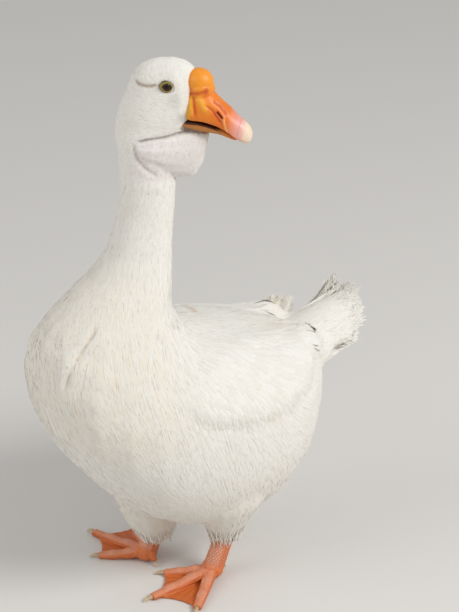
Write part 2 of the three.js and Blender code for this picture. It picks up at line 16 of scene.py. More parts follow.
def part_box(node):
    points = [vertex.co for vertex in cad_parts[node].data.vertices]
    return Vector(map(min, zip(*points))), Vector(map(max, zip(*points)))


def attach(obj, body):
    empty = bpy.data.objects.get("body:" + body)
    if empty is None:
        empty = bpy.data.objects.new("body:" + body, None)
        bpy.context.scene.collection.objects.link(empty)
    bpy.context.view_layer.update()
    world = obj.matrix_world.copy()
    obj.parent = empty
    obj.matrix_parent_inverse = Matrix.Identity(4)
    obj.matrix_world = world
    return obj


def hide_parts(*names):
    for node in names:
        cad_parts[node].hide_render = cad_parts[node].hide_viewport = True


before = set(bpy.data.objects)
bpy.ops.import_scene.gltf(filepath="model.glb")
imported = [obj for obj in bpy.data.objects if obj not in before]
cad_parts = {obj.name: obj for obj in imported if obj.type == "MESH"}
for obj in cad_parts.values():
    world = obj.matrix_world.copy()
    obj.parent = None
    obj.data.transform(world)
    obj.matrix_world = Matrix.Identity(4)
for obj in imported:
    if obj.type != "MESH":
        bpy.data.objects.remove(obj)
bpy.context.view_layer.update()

MM = 0.001
RNG = np.random.default_rng(7)

# ------------------------------------------------------------------ the flesh and its coat

# The skin covers the flesh nodes and the tail, lies behind the eyes, and ends at the bill.
FLESH = ["trunk", "neck_lower", "neck_upper", "head", "dewlap", "wing_left", "wing_right",
         "thigh_left", "thigh_right"]
WINGS = ["wing_left", "wing_right"]
EYES = ["eye_left", "eye_right"]
BILL = ["bill_upper", "bill_lower", "knob"]
EYE_PLUG = 0.5 * MM  # how far the skin behind each eye lies inside the ball
# Rounds of smoothing: all over, at the places in SMOOTHED, and at the borders of the wings.
ROUNDS_ALL, ROUNDS_PLACES, ROUNDS_WINGS = 40, 110, 140
FACE_KEPT = 0.6  # share of the smoothing all over that the head and dewlap are spared
FACE_SMALLER = 0.55  # how much smaller the feathers next to the bill and eyes are
REAR_THINNER = 0.4  # how much less deep the coat is at the wings' rear, and on the face
GAP_CLOSING = 0.8 * MM  # how far the parted solids swell so that they join again
SKIN_VOXEL = 2.3 * MM
TAIL_STUMP = 0.74  # share of the tail that is flesh and soft feathers
TAIL_RISE = math.radians(33)
TAIL_BACK = np.array([0, math.cos(TAIL_RISE), math.sin(TAIL_RISE)])
TAIL_OVER = np.array([0, -math.sin(TAIL_RISE), math.cos(TAIL_RISE)])

# What grows on each part, in millimetres: feather length and half width, the distance between
# roots, and how deep the coat lies over the skin.
SIZES = ("length", "half", "spacing", "depth")
COAT = {
    "head": (9.0, 1.5, 2.0, 0.45),
    "dewlap": (7.0, 1.2, 1.9, 0.35),
    "neck_upper": (16, 1.9, 2.7, 0.8),
    "neck_lower": (23, 2.6, 3.5, 1.05),
    "trunk": (34, 3.4, 4.3, 1.35),
    "wing_left": (27, 4.4, 4.6, 1.15),
    "wing_right": (27, 4.4, 4.6, 1.15),
    "thigh_left": (27, 2.6, 3.6, 1.35),
    "thigh_right": (27, 2.6, 3.6, 1.35),
    "tail": (36, 3.8, 4.6, 1.5),
}
SHARP = math.radians(60)  # the angle above which a feather's edges are shaded sharp
PATCH = 0.003  # side of a feather's patch on the OFBake map
FEATHER_FACES = 180_000  # most triangles in one piece of the coat

# ------------------------------------------------------------------ the head's frame

HEAD_TURN = math.radians(135)
HEAD_DIP = math.radians(12)
# The eyes' middles in the head's frame, and their radius.
EYE = {"side": 17 * MM, "out": 11.5 * MM, "up": 60 * MM, "radius": 8.8 * MM}
HEAD_ROTATION = np.array(Matrix.Rotation(HEAD_TURN, 3, "Z") @ Matrix.Rotation(HEAD_DIP, 3, "X"))
HEAD_REACH = 110  # how far from the head's middle, 20 mm up, its creases and markings go, in mm


def box_centre(node):
    low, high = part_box(node)
    return np.array((low + high) / 2)


EYE_MIDDLE = (box_centre("eye_left") + box_centre("eye_right")) / 2
HEAD_CENTRE = EYE_MIDDLE - HEAD_ROTATION @ np.array([0, -EYE["out"], EYE["up"]])
# The goose's own origin: the floor under the middle line, which the part's dimensions start from.
ORIGIN = HEAD_CENTRE - np.array([0, -84.7, 633.4]) * MM


def head_to_world(side, out, up):
    """Places in mm along the head's axes, as arrays, in the row's frame."""
    local = np.stack(np.broadcast_arrays(side, -np.asarray(out), up), axis=-1) * MM
    return local @ HEAD_ROTATION.T + HEAD_CENTRE


def world_to_head(points):
    """The places' side, out and up on the head, in mm, and which of them are near the head."""
    side, out, up = ((points - HEAD_CENTRE) @ HEAD_ROTATION * [1, -1, 1] / MM).T
    return side, out, up, np.hypot(out, up - 20) < HEAD_REACH


def goose_to_world(x, y, z):
    """Places in mm from the goose's own origin, as arrays, in the row's frame."""
    return ORIGIN + np.stack([x, y, z], axis=-1) * MM


def world_to_goose(points):
    return (points - ORIGIN) / MM


def box_of(node):
    """The lowest and highest corner of a node."""
    return [np.array(corner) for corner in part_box(node)]


# ------------------------------------------------------------------ arrays and meshes

def unit(vectors):
    return vectors / np.maximum(np.linalg.norm(vectors, axis=-1, keepdims=True), 1e-12)


def smoothstep(low, high, value):
    t = np.clip((value - low) / (high - low), 0, 1)
    return t * t * (3 - 2 * t)


def bump(distance, radius):
    """1 at no distance, falling smoothly to 0 at the radius."""
    return 1 - smoothstep(0, radius, np.abs(distance))


def catmull(values, t):
    """A smooth curve through rows of values at even stations, read at an array of 0..1."""
    values = np.asarray(values, float)
    last = len(values) - 1
    place = np.clip(t, 0, 1) * last
    i = np.minimum(place.astype(int), last - 1)
    f = (place - i)[..., None]
    before, after = np.maximum(i - 1, 0), np.minimum(i + 2, last)
    a, b, c, d = values[before], values[i], values[i + 1], values[after]
    return 0.5 * (2 * b + (c - a) * f + (2 * a - 5 * b + 4 * c - d) * f ** 2
                  + (3 * b - a - 3 * c + d) * f ** 3)


def gather(index, rows, count):
    """The sums of the rows that share an index."""
    return np.stack([np.bincount(index, column, count) for column in rows.T], axis=1)


def read_mesh(mesh):
    """Vertex positions and triangles."""
    position = np.empty(len(mesh.vertices) * 3, np.float32)
    mesh.vertices.foreach_get("co", position)
    mesh.calc_loop_triangles()
    triangles = np.empty(len(mesh.loop_triangles) * 3, np.int32)
    mesh.loop_triangles.foreach_get("vertices", triangles)
    return position.reshape(-1, 3).astype(float), triangles.reshape(-1, 3)


def make_mesh(name, position, faces):
    """A mesh object of equal-sided faces, smooth shaded."""
    faces = np.asarray(faces, np.int32)
    mesh = bpy.data.meshes.new(name)
    mesh.vertices.add(len(position))
    mesh.vertices.foreach_set("co", np.asarray(position, np.float32).ravel())
    mesh.loops.add(faces.size)
    mesh.loops.foreach_set("vertex_index", faces.ravel())
    mesh.polygons.add(len(faces))
    mesh.polygons.foreach_set("loop_start", np.arange(0, faces.size, faces.shape[1], dtype=np.int32))
    mesh.polygons.foreach_set("use_smooth", np.ones(len(faces), bool))
    mesh.update(calc_edges=True)
    piece = bpy.data.objects.new(name, mesh)
    bpy.context.scene.collection.objects.link(piece)
    return piece


def set_tuft(piece, values):
    attribute = piece.data.attributes.new("tuft", "FLOAT", "POINT")
    attribute.data.foreach_set("value", np.asarray(values, np.float32).ravel())


def finish_piece(piece, rgb, material):
    """A piece's colours at its vertices, its material, and its place in the frame."""
    rgba = np.ones((len(rgb), 4), np.float32)
    rgba[:, :3] = rgb
    attribute = piece.data.attributes.new("marking_and_shade", "FLOAT_COLOR", "POINT")
    attribute.data.foreach_set("color", rgba.ravel())
    piece.data.materials.append(material)
    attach(piece, "root")


def set_uv(piece, name, uv):
    """A UV map from one place per vertex."""
    mesh = piece.data
    corner = np.empty(len(mesh.loops), np.int32)
    mesh.loops.foreach_get("vertex_index", corner)
    mesh.uv_layers.new(name=name).data.foreach_set("uv", uv[corner].astype(np.float32).ravel())


def vertex_normals(position, triangles):
    a, b, c = (position[triangles[:, k]] for k in range(3))
    face = unit(np.cross(b - a, c - a))
    total = np.zeros_like(position)
    for k, (here, ahead, behind) in enumerate([(a, b, c), (b, c, a), (c, a, b)]):
        cosine = (unit(ahead - here) * unit(behind - here)).sum(1)
        angle = np.arccos(np.clip(cosine, -1, 1))[:, None]
        total += gather(triangles[:, k], face * angle, len(position))
    return unit(total)


def pushed(position, normal, push):
    """Places moved along their normals, by mm."""
    return position + normal * push[:, None] * MM


def edges_of(triangles):
    pairs = np.concatenate([triangles[:, [0, 1]], triangles[:, [1, 2]], triangles[:, [2, 0]]])
    return np.unique(np.sort(pairs, axis=1), axis=0)


def spread(values, edges, rounds, weight=0.5):
    """Values at the vertices, blended with their neighbours' again and again."""
    a, b = edges.T
    values = np.array(values, float)
    flat = values.reshape(len(values), -1)
    degree = np.bincount(edges.ravel(), minlength=len(values))[:, None]
    pull = np.broadcast_to(np.reshape(weight, (-1, 1)), (len(values), 1))
    for _ in range(rounds):
        total = gather(a, flat[b], len(flat)) + gather(b, flat[a], len(flat))
        flat += pull * (total / np.maximum(degree, 1) - flat)
    return flat.reshape(values.shape)


def fair(position, edges, rounds, weight=1.0):
    """Smooths positions with little shrinking: a step in and a slightly larger step out."""
    for _ in range(rounds):
        position = spread(position, edges, 1, 0.5 * weight)
        position = spread(position, edges, 1, -0.52 * weight)
    return position


def remesh(name, position, triangles, voxel):
    """One closed skin round everything in the arrays."""
    source = make_mesh(name, position, triangles)
    modifier = source.modifiers.new("one_skin", "REMESH")
    modifier.mode = "VOXEL"
    modifier.voxel_size = voxel
    modifier.adaptivity = 0
    graph = bpy.context.evaluated_depsgraph_get()
    mesh = bpy.data.meshes.new_from_object(source.evaluated_get(graph))
    bpy.data.objects.remove(source)
    result = read_mesh(mesh)
    bpy.data.meshes.remove(mesh)
    return result


def join_arrays(parts):
    """Several (positions, faces) as one."""
    starts = np.cumsum([0] + [len(position) for position, _ in parts])
    return (np.concatenate([position for position, _ in parts]),
            np.concatenate([faces + start for (_, faces), start in zip(parts, starts)]))


def node_arrays(node, swell=0.0):
    """A node's solid with its corners joined, swollen by a distance."""
    position, triangles = read_mesh(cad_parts[node].data)
    merged, index = np.unique(np.round(position, 7), axis=0, return_inverse=True)
    triangles = index.reshape(-1)[triangles]
    triangles = triangles[(triangles != np.roll(triangles, -1, axis=1)).all(1)]
    return merged + swell * vertex_normals(merged, triangles), triangles


def node_tree(node):
    return BVHTree.FromPolygons(*(array.tolist() for array in node_arrays(node)))


def distance_to(tree, points):
    return np.array([tree.find_nearest(point)[3] for point in points.tolist()])


def grid_faces(rows, columns, closed_rows=False):
    """Triangles of a grid whose columns close up."""
    i = np.arange(rows if closed_rows else rows - 1)[:, None]
    j = np.arange(columns)[None, :]
    a = i * columns + j
    b = i * columns + (j + 1) % columns
    c = (i + 1) % rows * columns + (j + 1) % columns
    d = (i + 1) % rows * columns + j
    return np.concatenate([np.stack([a, b, c], 2).reshape(-1, 3), np.stack([a, c, d], 2).reshape(-1, 3)])


def outward(position, faces):
    """The faces, turned if need be so that the solid's surface faces out."""
    a, b, c = (position[faces[:, k]] for k in range(3))
    volume = (a * np.cross(b, c)).sum()
    return faces if volume > 0 else faces[:, ::-1]


def tube_faces(rows, columns):
    """Triangles of a closed tube of rings, with a fan over each end."""
    first, last = np.arange(columns), (rows - 1) * columns + np.arange(columns)
    caps = [np.stack([np.full(columns - 2, loop[0]), loop[1:-1], loop[2:]], 1)[:, ::step]
            for loop, step in ((first, -1), (last, 1))]
    return np.concatenate([grid_faces(rows, columns), *caps])


def head_loft(stations, powers, steps=90, around=96):
    """A solid through (out, top, bottom, half width) stations in the head's frame, in mm."""
    out, top, bottom, half = catmull(stations, np.linspace(0, 1, steps)).T[..., None]
    turn = np.linspace(0, 2 * math.pi, around, endpoint=False)
    cosine, sine = np.cos(turn), np.sin(turn)
    power = 2 / np.where(sine > 0, *powers)
    waist = bottom + 0.36 * (top - bottom)
    reach = np.where(sine > 0, top - waist, waist - bottom)
    x = half * np.sign(cosine) * np.abs(cosine) ** power
    z = waist + reach * np.sign(sine) * np.abs(sine) ** power
    y = out * np.ones(around)
    position = head_to_world(x.ravel(), y.ravel(), z.ravel())
    return position, outward(position, tube_faces(steps, around))


def ball(centre, radii, to_world=head_to_world):
    """A round solid: its centre and radii in mm along the three axes of a frame."""
    polar = np.linspace(0, math.pi, 25)[1:-1]
    turn = np.linspace(0, 2 * math.pi, 40, endpoint=False)
    x = np.sin(polar)[:, None] * np.cos(turn)
    y = np.sin(polar)[:, None] * np.sin(turn)
    z = np.cos(polar)[:, None] * np.ones(len(turn))
    position = to_world(*((middle + radius * value).ravel() for middle, radius, value
                          in zip(centre, radii, (x, y, z))))
    return position, outward(position, tube_faces(*x.shape))


class Surface:
    """A closed surface that feathers and details are placed on."""

    def __init__(self, position, triangles):
        self.position = position
        self.triangles = triangles
        self.edges = edges_of(triangles)
        self.normal = vertex_normals(position, triangles)
        self.tree = BVHTree.FromPolygons(position.tolist(), triangles.tolist())
        self.fields = {}  # values at the vertices, by name

    def nearest(self, points):
        """The nearest places: positions, faces and corner weights."""
        hits = [self.tree.find_nearest(point) for point in points.tolist()]
        place = np.array([hit[0] for hit in hits])
        face = np.array([hit[2] for hit in hits])
        return place, face, self.weights(place, face)

    def weights(self, place, face):
        a, b, c = (self.position[self.triangles[face, k]] for k in range(3))
        u, v, w = b - a, c - a, place - a
        uu, uv, vv = (u * u).sum(1), (u * v).sum(1), (v * v).sum(1)
        wu, wv = (w * u).sum(1), (w * v).sum(1)
        scale = np.maximum(uu * vv - uv * uv, 1e-20)
        second = (vv * wu - uv * wv) / scale
        third = (uu * wv - uv * wu) / scale
        weights = np.stack([1 - second - third, second, third], axis=1)
        return np.clip(weights, 0, 1)

    def read(self, values, face, weights):
        """Values at the vertices, read at places on the surface."""
        corners = values[self.triangles[face]]
        shape = weights.shape + (1,) * (corners.ndim - 2)
        return (corners * weights.reshape(shape)).sum(1)

    def read_uv(self, face, weights):
        return (self.corner_uv[face] * weights[..., None]).sum(1)


# ------------------------------------------------------------------ lines on the head

def to_line(*places_and_line):
    """Distance of places from a run of straight lines, and how far along it they are, 0..1."""
    *axes, line = places_and_line
    places = np.stack(axes, axis=1)
    line = np.asarray(line, float)
    best = np.full(len(places), 1e9)
    along = np.zeros(len(places))
    for k, (a, b) in enumerate(zip(line[:-1], line[1:])):
        d = b - a
        t = np.clip((places - a) @ d / (d @ d), 0, 1)
        gap = np.linalg.norm(places - a - t[:, None] * d, axis=1)
        along = np.where(gap < best, (k + t) / (len(line) - 1), along)
        best = np.minimum(gap, best)
    return best, along


def ridge(x, y, line, width, fade=0.15):
    """1 on a line, falling off to its sides and towards its two ends."""
    gap, along = to_line(x, y, line)
    ends = smoothstep(0, fade, along) * smoothstep(0, fade, 1 - along)
    return np.exp(-(gap / width) ** 2) * (0.25 + 0.75 * ends)


# The opening between the lids, and the fleshy ring round it, as half axes along and across, in mm.
EYE_OPENING = (4.6, 3.9)
EYE_RING = (8.0, 6.5)
EYE_AXIS = np.array([0.94, 0.28, 0.10])  # of the left eye: side, out, up
# The lids lie on a ball whose middle is behind the eye's: its radius, and how far, in mm.
LID_RADIUS, LID_BEHIND = 12.6, 4.33


def eye_frame(sign):
    """The eye's centre, axis and two directions across it, in the head's frame, in mm."""
    centre = np.array([sign * EYE["side"], EYE["out"], EYE["up"]]) / MM
    axis = unit(EYE_AXIS * [sign, 1, 1])
    across = unit(np.array([0, 1.0, 0.06]) - axis * (np.array([0, 1.0, 0.06]) @ axis))
    return centre, axis, across, np.cross(axis, across)


# ------------------------------------------------------------------ the skin

def clip_arrays(position, triangles, origin, direction):
    """The part of a closed solid behind a plane, closed again."""
    mesh = bpy.data.meshes.new("clip")
    mesh.from_pydata(position.tolist(), [], triangles.tolist())
    solid = bmesh.new()
    solid.from_mesh(mesh)
    geometry = list(solid.verts) + list(solid.edges) + list(solid.faces)
    bmesh.ops.bisect_plane(solid, geom=geometry, plane_co=origin, plane_no=direction, clear_outer=True)
    bmesh.ops.holes_fill(solid, edges=[e for e in solid.edges if e.is_boundary])
    bmesh.ops.triangulate(solid, faces=list(solid.faces))
    solid.to_mesh(mesh)
    solid.free()
    result = read_mesh(mesh)
    bpy.data.meshes.remove(mesh)
    return result


def build_skin():
    """The flesh as one skin, with its coat's sizes and the lie of its feathers at every vertex."""
    parts = [node_arrays(node, GAP_CLOSING) for node in FLESH]
    tail = node_arrays("tail", GAP_CLOSING)
    along = tail[0] @ TAIL_BACK
    cut = along.min() + TAIL_STUMP * (along.max() - along.min())
    parts.append(clip_arrays(*tail, TAIL_BACK * cut, TAIL_BACK))
    parts += [node_arrays(eye, -EYE_PLUG) for eye in EYES]
    parts += [ball(*sizes) for sizes in HEAD_FILLERS]
    parts += [ball(*sizes, goose_to_world) for sizes in TAIL_FILLERS]
    position, triangles = remesh("flesh", *join_arrays(parts), SKIN_VOXEL)
    edges = edges_of(triangles)

    names = FLESH + ["tail"]
    owner = np.argmin([distance_to(node_tree(node), position) for node in names], axis=0)
    owned = {node: owner == number for number, node in enumerate(names)}
    fine = (owned["head"] | owned["dewlap"]).astype(float)

    position = fair(position, edges, ROUNDS_ALL, spread(1 - FACE_KEPT * fine, edges, 12))
    for centre, reach in SMOOTHED:
        near = bump(np.linalg.norm(world_to_goose(position) - centre, axis=1), reach)
        position = spread(position, edges, ROUNDS_PLACES, 0.8 * near)
    position = soften_wing_edges(position, edges, owned)
    position = ruffle(position, triangles, edges, owned)
    position = shape_head(position, triangles)
    surface = Surface(position, triangles)

    fields = surface.fields
    for size, column in zip(SIZES, np.array([COAT[name] for name in names]).T):
        fields[size] = spread(column[owner] * MM, edges, 40)
    rear = rear_of_wings(position, edges, owned)
    to_bill = np.min([distance_to(node_tree(node), position) for node in BILL], axis=0)
    to_eye = np.min([distance_to(node_tree(eye), position) for eye in EYES], axis=0)
    far = np.minimum(smoothstep(0, 30 * MM, to_bill), smoothstep(-6 * MM, 16 * MM, to_eye))
    on_head = spread(fine, edges, 10)
    for size in ("length", "half", "spacing"):
        fields[size] *= 1 + WING_GROWTH * rear
        fields[size] *= 1 - on_head * (1 - far) * FACE_SMALLER
    fields["depth"] *= 1 - REAR_THINNER * rear
    fields["depth"] *= 1 - REAR_THINNER * on_head * (1 - far)
    thin = np.minimum(fields["depth"], THIN_SHARE * thickness(surface))
    fields["depth"] = np.minimum(spread(thin, edges, 6), thin)

    skin = Surface(position - surface.normal * fields["depth"][:, None], triangles)
    skin.fields = fields
    skin.owned = owned
    skin.lie = feather_lie(skin, to_bill)
    return skin


# Rounded lumps that fill out the forehead over the knob, and the lower front of the dewlap.
HEAD_FILLERS = [
    ((0, 26.0, 74.0), (13.5, 14.5, 14.5)),
    ((0, 57.0, -36.5), (9.5, 9.5, 12.5)),
    ((0, 62.0, -20.0), (7.0, 7.5, 20.0)),
]
# Lumps of flesh that join the tail's root to the tips of the folded wings, in the goose's frame.
TAIL_FILLERS = [(centre, radii) for side in (-1, 1) for centre, radii in (
    ((side * 34, 128, 299), (22, 22, 13)), ((side * 33, 133, 284), (17, 20, 15)))]
# Places where the flesh is smoothed out, with their reach: the hollow behind the neck's base, and
# where the wings' tips meet the tail.
SMOOTHED = [((0, -64, 402), 34), ((28, 142, 304), 26), ((-28, 142, 304), 26)]

WING_GROWTH = 1.0  # how much longer the wing's last feathers are than its first
THIN_SHARE = 0.22  # the most of the flesh's thickness that its coat takes up


def wing_places(node, position, edges, owned, rounds):
    """Which places belong to a wing, and how far back and up each place is in the wing's box."""
    low, high = box_of(node)
    _, back, up = ((position - low) / (high - low)).T
    return spread(owned[node].astype(float), edges, rounds), back, up


def rear_of_wings(position, edges, owned):
    """0 on the front of the folded wings, where the small coverts are, to 1 before their tips."""
    rear = 0
    for node in WINGS:
        wing, back, _ = wing_places(node, position, edges, owned, 8)
        long = smoothstep(0.25, 0.9, back) * smoothstep(1.02, 0.84, back)
        rear = np.maximum(rear, wing * long)
    return rear


def thickness(surface):
    """How far each vertex is from the far side of the flesh."""
    inside = surface.position - surface.normal * 0.2 * MM
    found = [surface.tree.ray_cast(start, way)[3]
             for start, way in zip(inside.tolist(), (-surface.normal).tolist())]
    return np.array([1.0 if distance is None else distance for distance in found])


# A parting in the breast's feathers on the left, in mm from the goose's own origin.
PARTING = [(45, -192, 417), (45.7, -195.6, 413.3), (46.9, -214.7, 394.5), (48.5, -233.0, 370.4),
           (47.4, -239, 352), (52, -238, 330)]


def parting(points, width):
    gap, along = to_line(*world_to_goose(points).T, PARTING)
    return np.exp(-(gap / width) ** 2) * smoothstep(0, 0.3, along) * smoothstep(0, 0.4, 1 - along)


def ruffle(position, triangles, edges, owned):
    """Slow waves in the plumage of the trunk and thighs, and the parting in the breast."""
    soft = owned["trunk"] | owned["thigh_left"] | owned["thigh_right"]
    soft = spread(soft.astype(float), edges, 12)
    wave = np.array([noise.noise((x * 26, y * 26, z * 15)) for x, y, z in position.tolist()])
    push = 1.5 * wave * soft - 2.6 * parting(position, 3.2)
    return pushed(position, vertex_normals(position, triangles), push)


def soften_wing_edges(position, edges, owned):
    """The front and lower borders of the folded wings sink into the flank feathers."""
    for node in WINGS:
        wing, back, up = wing_places(node, position, edges, owned, 16)
        border = smoothstep(0, 1, 4 * wing * (1 - wing))
        place = np.maximum(smoothstep(0.55, 0.25, back), smoothstep(0.42, 0.25, up))
        position = spread(position, edges, ROUNDS_WINGS, 0.85 * border * np.maximum(place, 0.3))
    return position


# Creases of the head's skin as runs of (out, up), with their widths and depths, in mm.
DEWLAP_CREASE = [(-7.5, -11.0), (-2.4, -9.5), (4.0, -6.2), (11.5, -3.5), (21.6, -0.5), (32.7, 4.2),
                 (42.0, 8.0), (52.0, 11.5)]
DEWLAP_HEM = [(-9.0, -15.0), (-8.0, -21.0), (-1.0, -31.5), (9.0, -39.5), (18.0, -43.5), (27.0, -46.5)]
EYE_CREASE = [(2.4, 61.0), (-3.5, 57.2), (-9.7, 54.9), (-20.3, 53.4), (-25.5, 56.0)]
# The highest the forehead may be, as 'up' for each 'out', in mm, and how round the limit works.
CROWN = {-20: 110, 4: 93, 10: 90.4, 16.2: 89.6, 24.4: 88.6, 30.3: 86.4, 37: 82.5, 42: 77.4, 50: 66}
CROWN_ROUNDING = 0.7


def shape_head(position, triangles):
    """The creases over and behind the dewlap, and the skin that sinks in behind the lids."""
    side, out, up, near = world_to_head(position)
    flank = smoothstep(3, 9, np.abs(side)) * near
    push = -2.6 * ridge(out, up, DEWLAP_CREASE, 1.9) * flank
    push -= 2.4 * ridge(out, up, DEWLAP_HEM, 2.2) * flank
    push -= 0.9 * ridge(out, up, EYE_CREASE, 1.6) * flank
    past = np.where(near & (up > 10), feather_edge(out, up), -50)
    push -= 3.0 * smoothstep(-1.6, 1.4, past)
    position = pushed(position, vertex_normals(position, triangles), push)
    side, out, up, _ = world_to_head(position)
    crown = np.interp(out, list(CROWN), list(CROWN.values())) - side ** 2 / 38
    above = (up - crown) / CROWN_ROUNDING
    lower = np.where(near & (up > 60) & (above > -20), CROWN_ROUNDING * np.logaddexp(0, above), 0)
    position = head_to_world(side, out, up - lower)
    for sign in (-1, 1):
        centre = head_to_world(*eye_frame(sign)[0])
        reach = np.linalg.norm(position - centre, axis=1) / MM
        inside = smoothstep(1.02, 0.86, eye_share(position, sign))
        shrink = 1 + inside * (np.minimum(reach, 7.2) / np.maximum(reach, 1e-6) - 1)
        position = centre + (position - centre) * shrink[:, None]
    return position


def feather_edge(out, up):
    """How far places are past the line where the feathers end against the bill, in mm."""
    return out - np.interp(up, list(FEATHER_EDGE), list(FEATHER_EDGE.values()))


def eye_share(points, sign):
    """How far points are from an eye's axis: 1 at the outer edge of its ring of lids."""
    centre, axis, across, over = eye_frame(sign)
    local = np.stack(world_to_head(points)[:3], axis=1) - centre
    share = np.hypot(local @ across / EYE_RING[0], local @ over / EYE_RING[1])
    return np.where(local @ axis > -2, share, 9.0)


def harmonic(count, edges, fixed, values, rounds=900):
    """The smoothest values over the surface that keep the fixed ones (conjugate gradients)."""
    a, b = edges.T
    degree = np.bincount(edges.ravel(), minlength=count).astype(float)

    def pull(x):
        return degree * x - np.bincount(a, x[b], count) - np.bincount(b, x[a], count)

    level = np.where(fixed, values, 0.5)
    rest = -pull(level)
    rest[fixed] = 0
    step = rest.copy()
    size = rest @ rest
    for _ in range(rounds):
        moved = pull(step)
        moved[fixed] = 0
        gain = size / (step @ moved)
        level += gain * step
        rest -= gain * moved
        new_size = rest @ rest
        if new_size < 1e-16:
            break
        step = rest + new_size / size * step
        size = new_size
    return level


def feather_lie(skin, to_bill):
    """Unit tangents from the bill towards the tail and down the thighs, like a smooth flow."""
    position, edges, count = skin.position, skin.edges, len(skin.position)
    start = to_bill < 4 * MM
    along_tail = position @ TAIL_BACK
    end = along_tail > along_tail.max() - 12 * MM
    for thigh in ("thigh_left", "thigh_right"):
        end |= skin.owned[thigh] & (position[:, 2] < box_of(thigh)[0][2] + 16 * MM)
    level = harmonic(count, edges, start | end, np.where(start, 0.0, 1.0))

    a, b = edges.T
    gap = position[b] - position[a]
    slope = ((level[b] - level[a]) / np.maximum((gap * gap).sum(1), 1e-12))[:, None] * gap
    lie = tangent(gather(a, slope, count) + gather(b, slope, count), skin.normal)
    lie = spread(lie, edges, 14)
    for eye in EYES:  # the small feathers of the face part in front of each eye and close behind it
        from_eye = position - box_centre(eye)
        reach = np.linalg.norm(from_eye, axis=1)
        strength = (EYE["radius"] * 1.25 / np.maximum(reach, EYE["radius"])) ** 3
        lie = lie + unit(from_eye) * strength[:, None]
    down = unit(np.array(PARTING[-2], float) - PARTING[0])
    return tangent(lie + 3 * parting(position, 12)[:, None] * down, skin.normal)


def unwrap(piece):
    """An unwrap of the skin's own shape, kept as the OFBake map."""
    piece.data.uv_layers.new(name="OFBake")
    bpy.context.view_layer.objects.active = piece
    piece.select_set(True)
    bpy.ops.object.mode_set(mode="EDIT")
    bpy.ops.mesh.select_all(action="SELECT")
    bpy.ops.uv.smart_project(angle_limit=math.radians(66), island_margin=0.004)
    bpy.ops.object.mode_set(mode="OBJECT")
    piece.select_set(False)
    uv = np.empty(len(piece.data.loops) * 2, np.float32)
    piece.data.uv_layers["OFBake"].data.foreach_get("uv", uv)
    return uv.reshape(-1, 3, 2).astype(float)


# ------------------------------------------------------------------ feathers

# Cross-sections of a feather as (across, out) corners, in half widths and thicknesses.
SMALL_SECTION = np.array([[-1, 0], [0, 1], [1, 0]], float)
LARGE_SECTION = np.array(
    [[-1, 0.0], [-0.5, 0.35], [-0.06, 0.5], [0, 1.5], [0.06, 0.5], [0.5, 0.35], [1, 0.0], [0, -0.5]],
    float)

# Outlines: shares of the length, and the shares of the half width there.
ROUNDED = np.array([[0, 0.3, 0.62, 0.86, 0.97, 1], [0.30, 0.80, 1, 0.82, 0.42, 0.08]])
LANCE = np.array([[0, 0.35, 0.7, 0.9, 1], [0.35, 1, 0.82, 0.42, 0.06]])
SOFT = np.array([[0, 0.4, 0.75, 1], [0.4, 1, 0.7, 0.10]])
QUILL = np.array([[0, 0.15, 0.35, 0.55, 0.72, 0.85, 0.94, 0.985, 1],
                  [0.45, 0.62, 0.85, 1, 1, 0.88, 0.6, 0.28, 0.06]])
SOFT_QUILL = np.array([[0, 0.2, 0.45, 0.7, 0.86, 0.96, 1], [0.5, 0.85, 1, 0.95, 0.72, 0.38, 0.08]])

# The tail's fan in millimetres, from the goose's own origin: layers of flight feathers (how far
# above or below the middle, how many, how long), and the fan's half width, its arch and the
# thickness of the feathering above and below it, at even stations from the root to the tips.
TAIL = {"root": (0, 116, 266), "length": 129, "rounding": 0.38,
        "layers": [(-0.85, 13, 0.90), (-0.4, 14, 0.96), (0, 18, 1.0), (0.4, 14, 0.96), (0.85, 13, 0.92)],
        "half": [42, 43, 43, 42, 41], "arch": [2, 8, 14, 22, 31],
        "above": [46, 35, 24, 10, 1.5], "below": [42, 42, 28, 12, 0.9]}


def tail_size(name, along):
    """One of the fan's measures at shares of its length."""
    return catmull(np.reshape(TAIL[name], (-1, 1)), along)[..., 0]


def vanes(centre, normal, half, thick, section, camber, **more):
    """Closed feathers: (N, K, 3) middle lines and normals with (N, K) half widths."""
    count, rows = half.shape
    ahead = unit(np.gradient(centre, axis=1))
    side = unit(np.cross(ahead, normal))
    out = np.cross(side, ahead)
    across, height = section.T
    shift = across[:, None] * half[:, :, None, None] * side[:, :, None, :]
    lift = thick[:, :, None] * height - camber * half[:, :, None] * across ** 2
    position = centre[:, :, None, :] + shift + lift[..., None] * out[:, :, None, :]
    local = np.stack(np.broadcast_arrays(
        across * half[:, :, None], np.linspace(0, 1, rows)[None, :, None]), axis=-1)
    return {"position": position.reshape(count, -1, 3), "local": local.reshape(count, -1, 2),
            "faces": tube_faces(rows, len(section)), **more}


TRIES = 4  # places drawn for each one that the spacing could hold


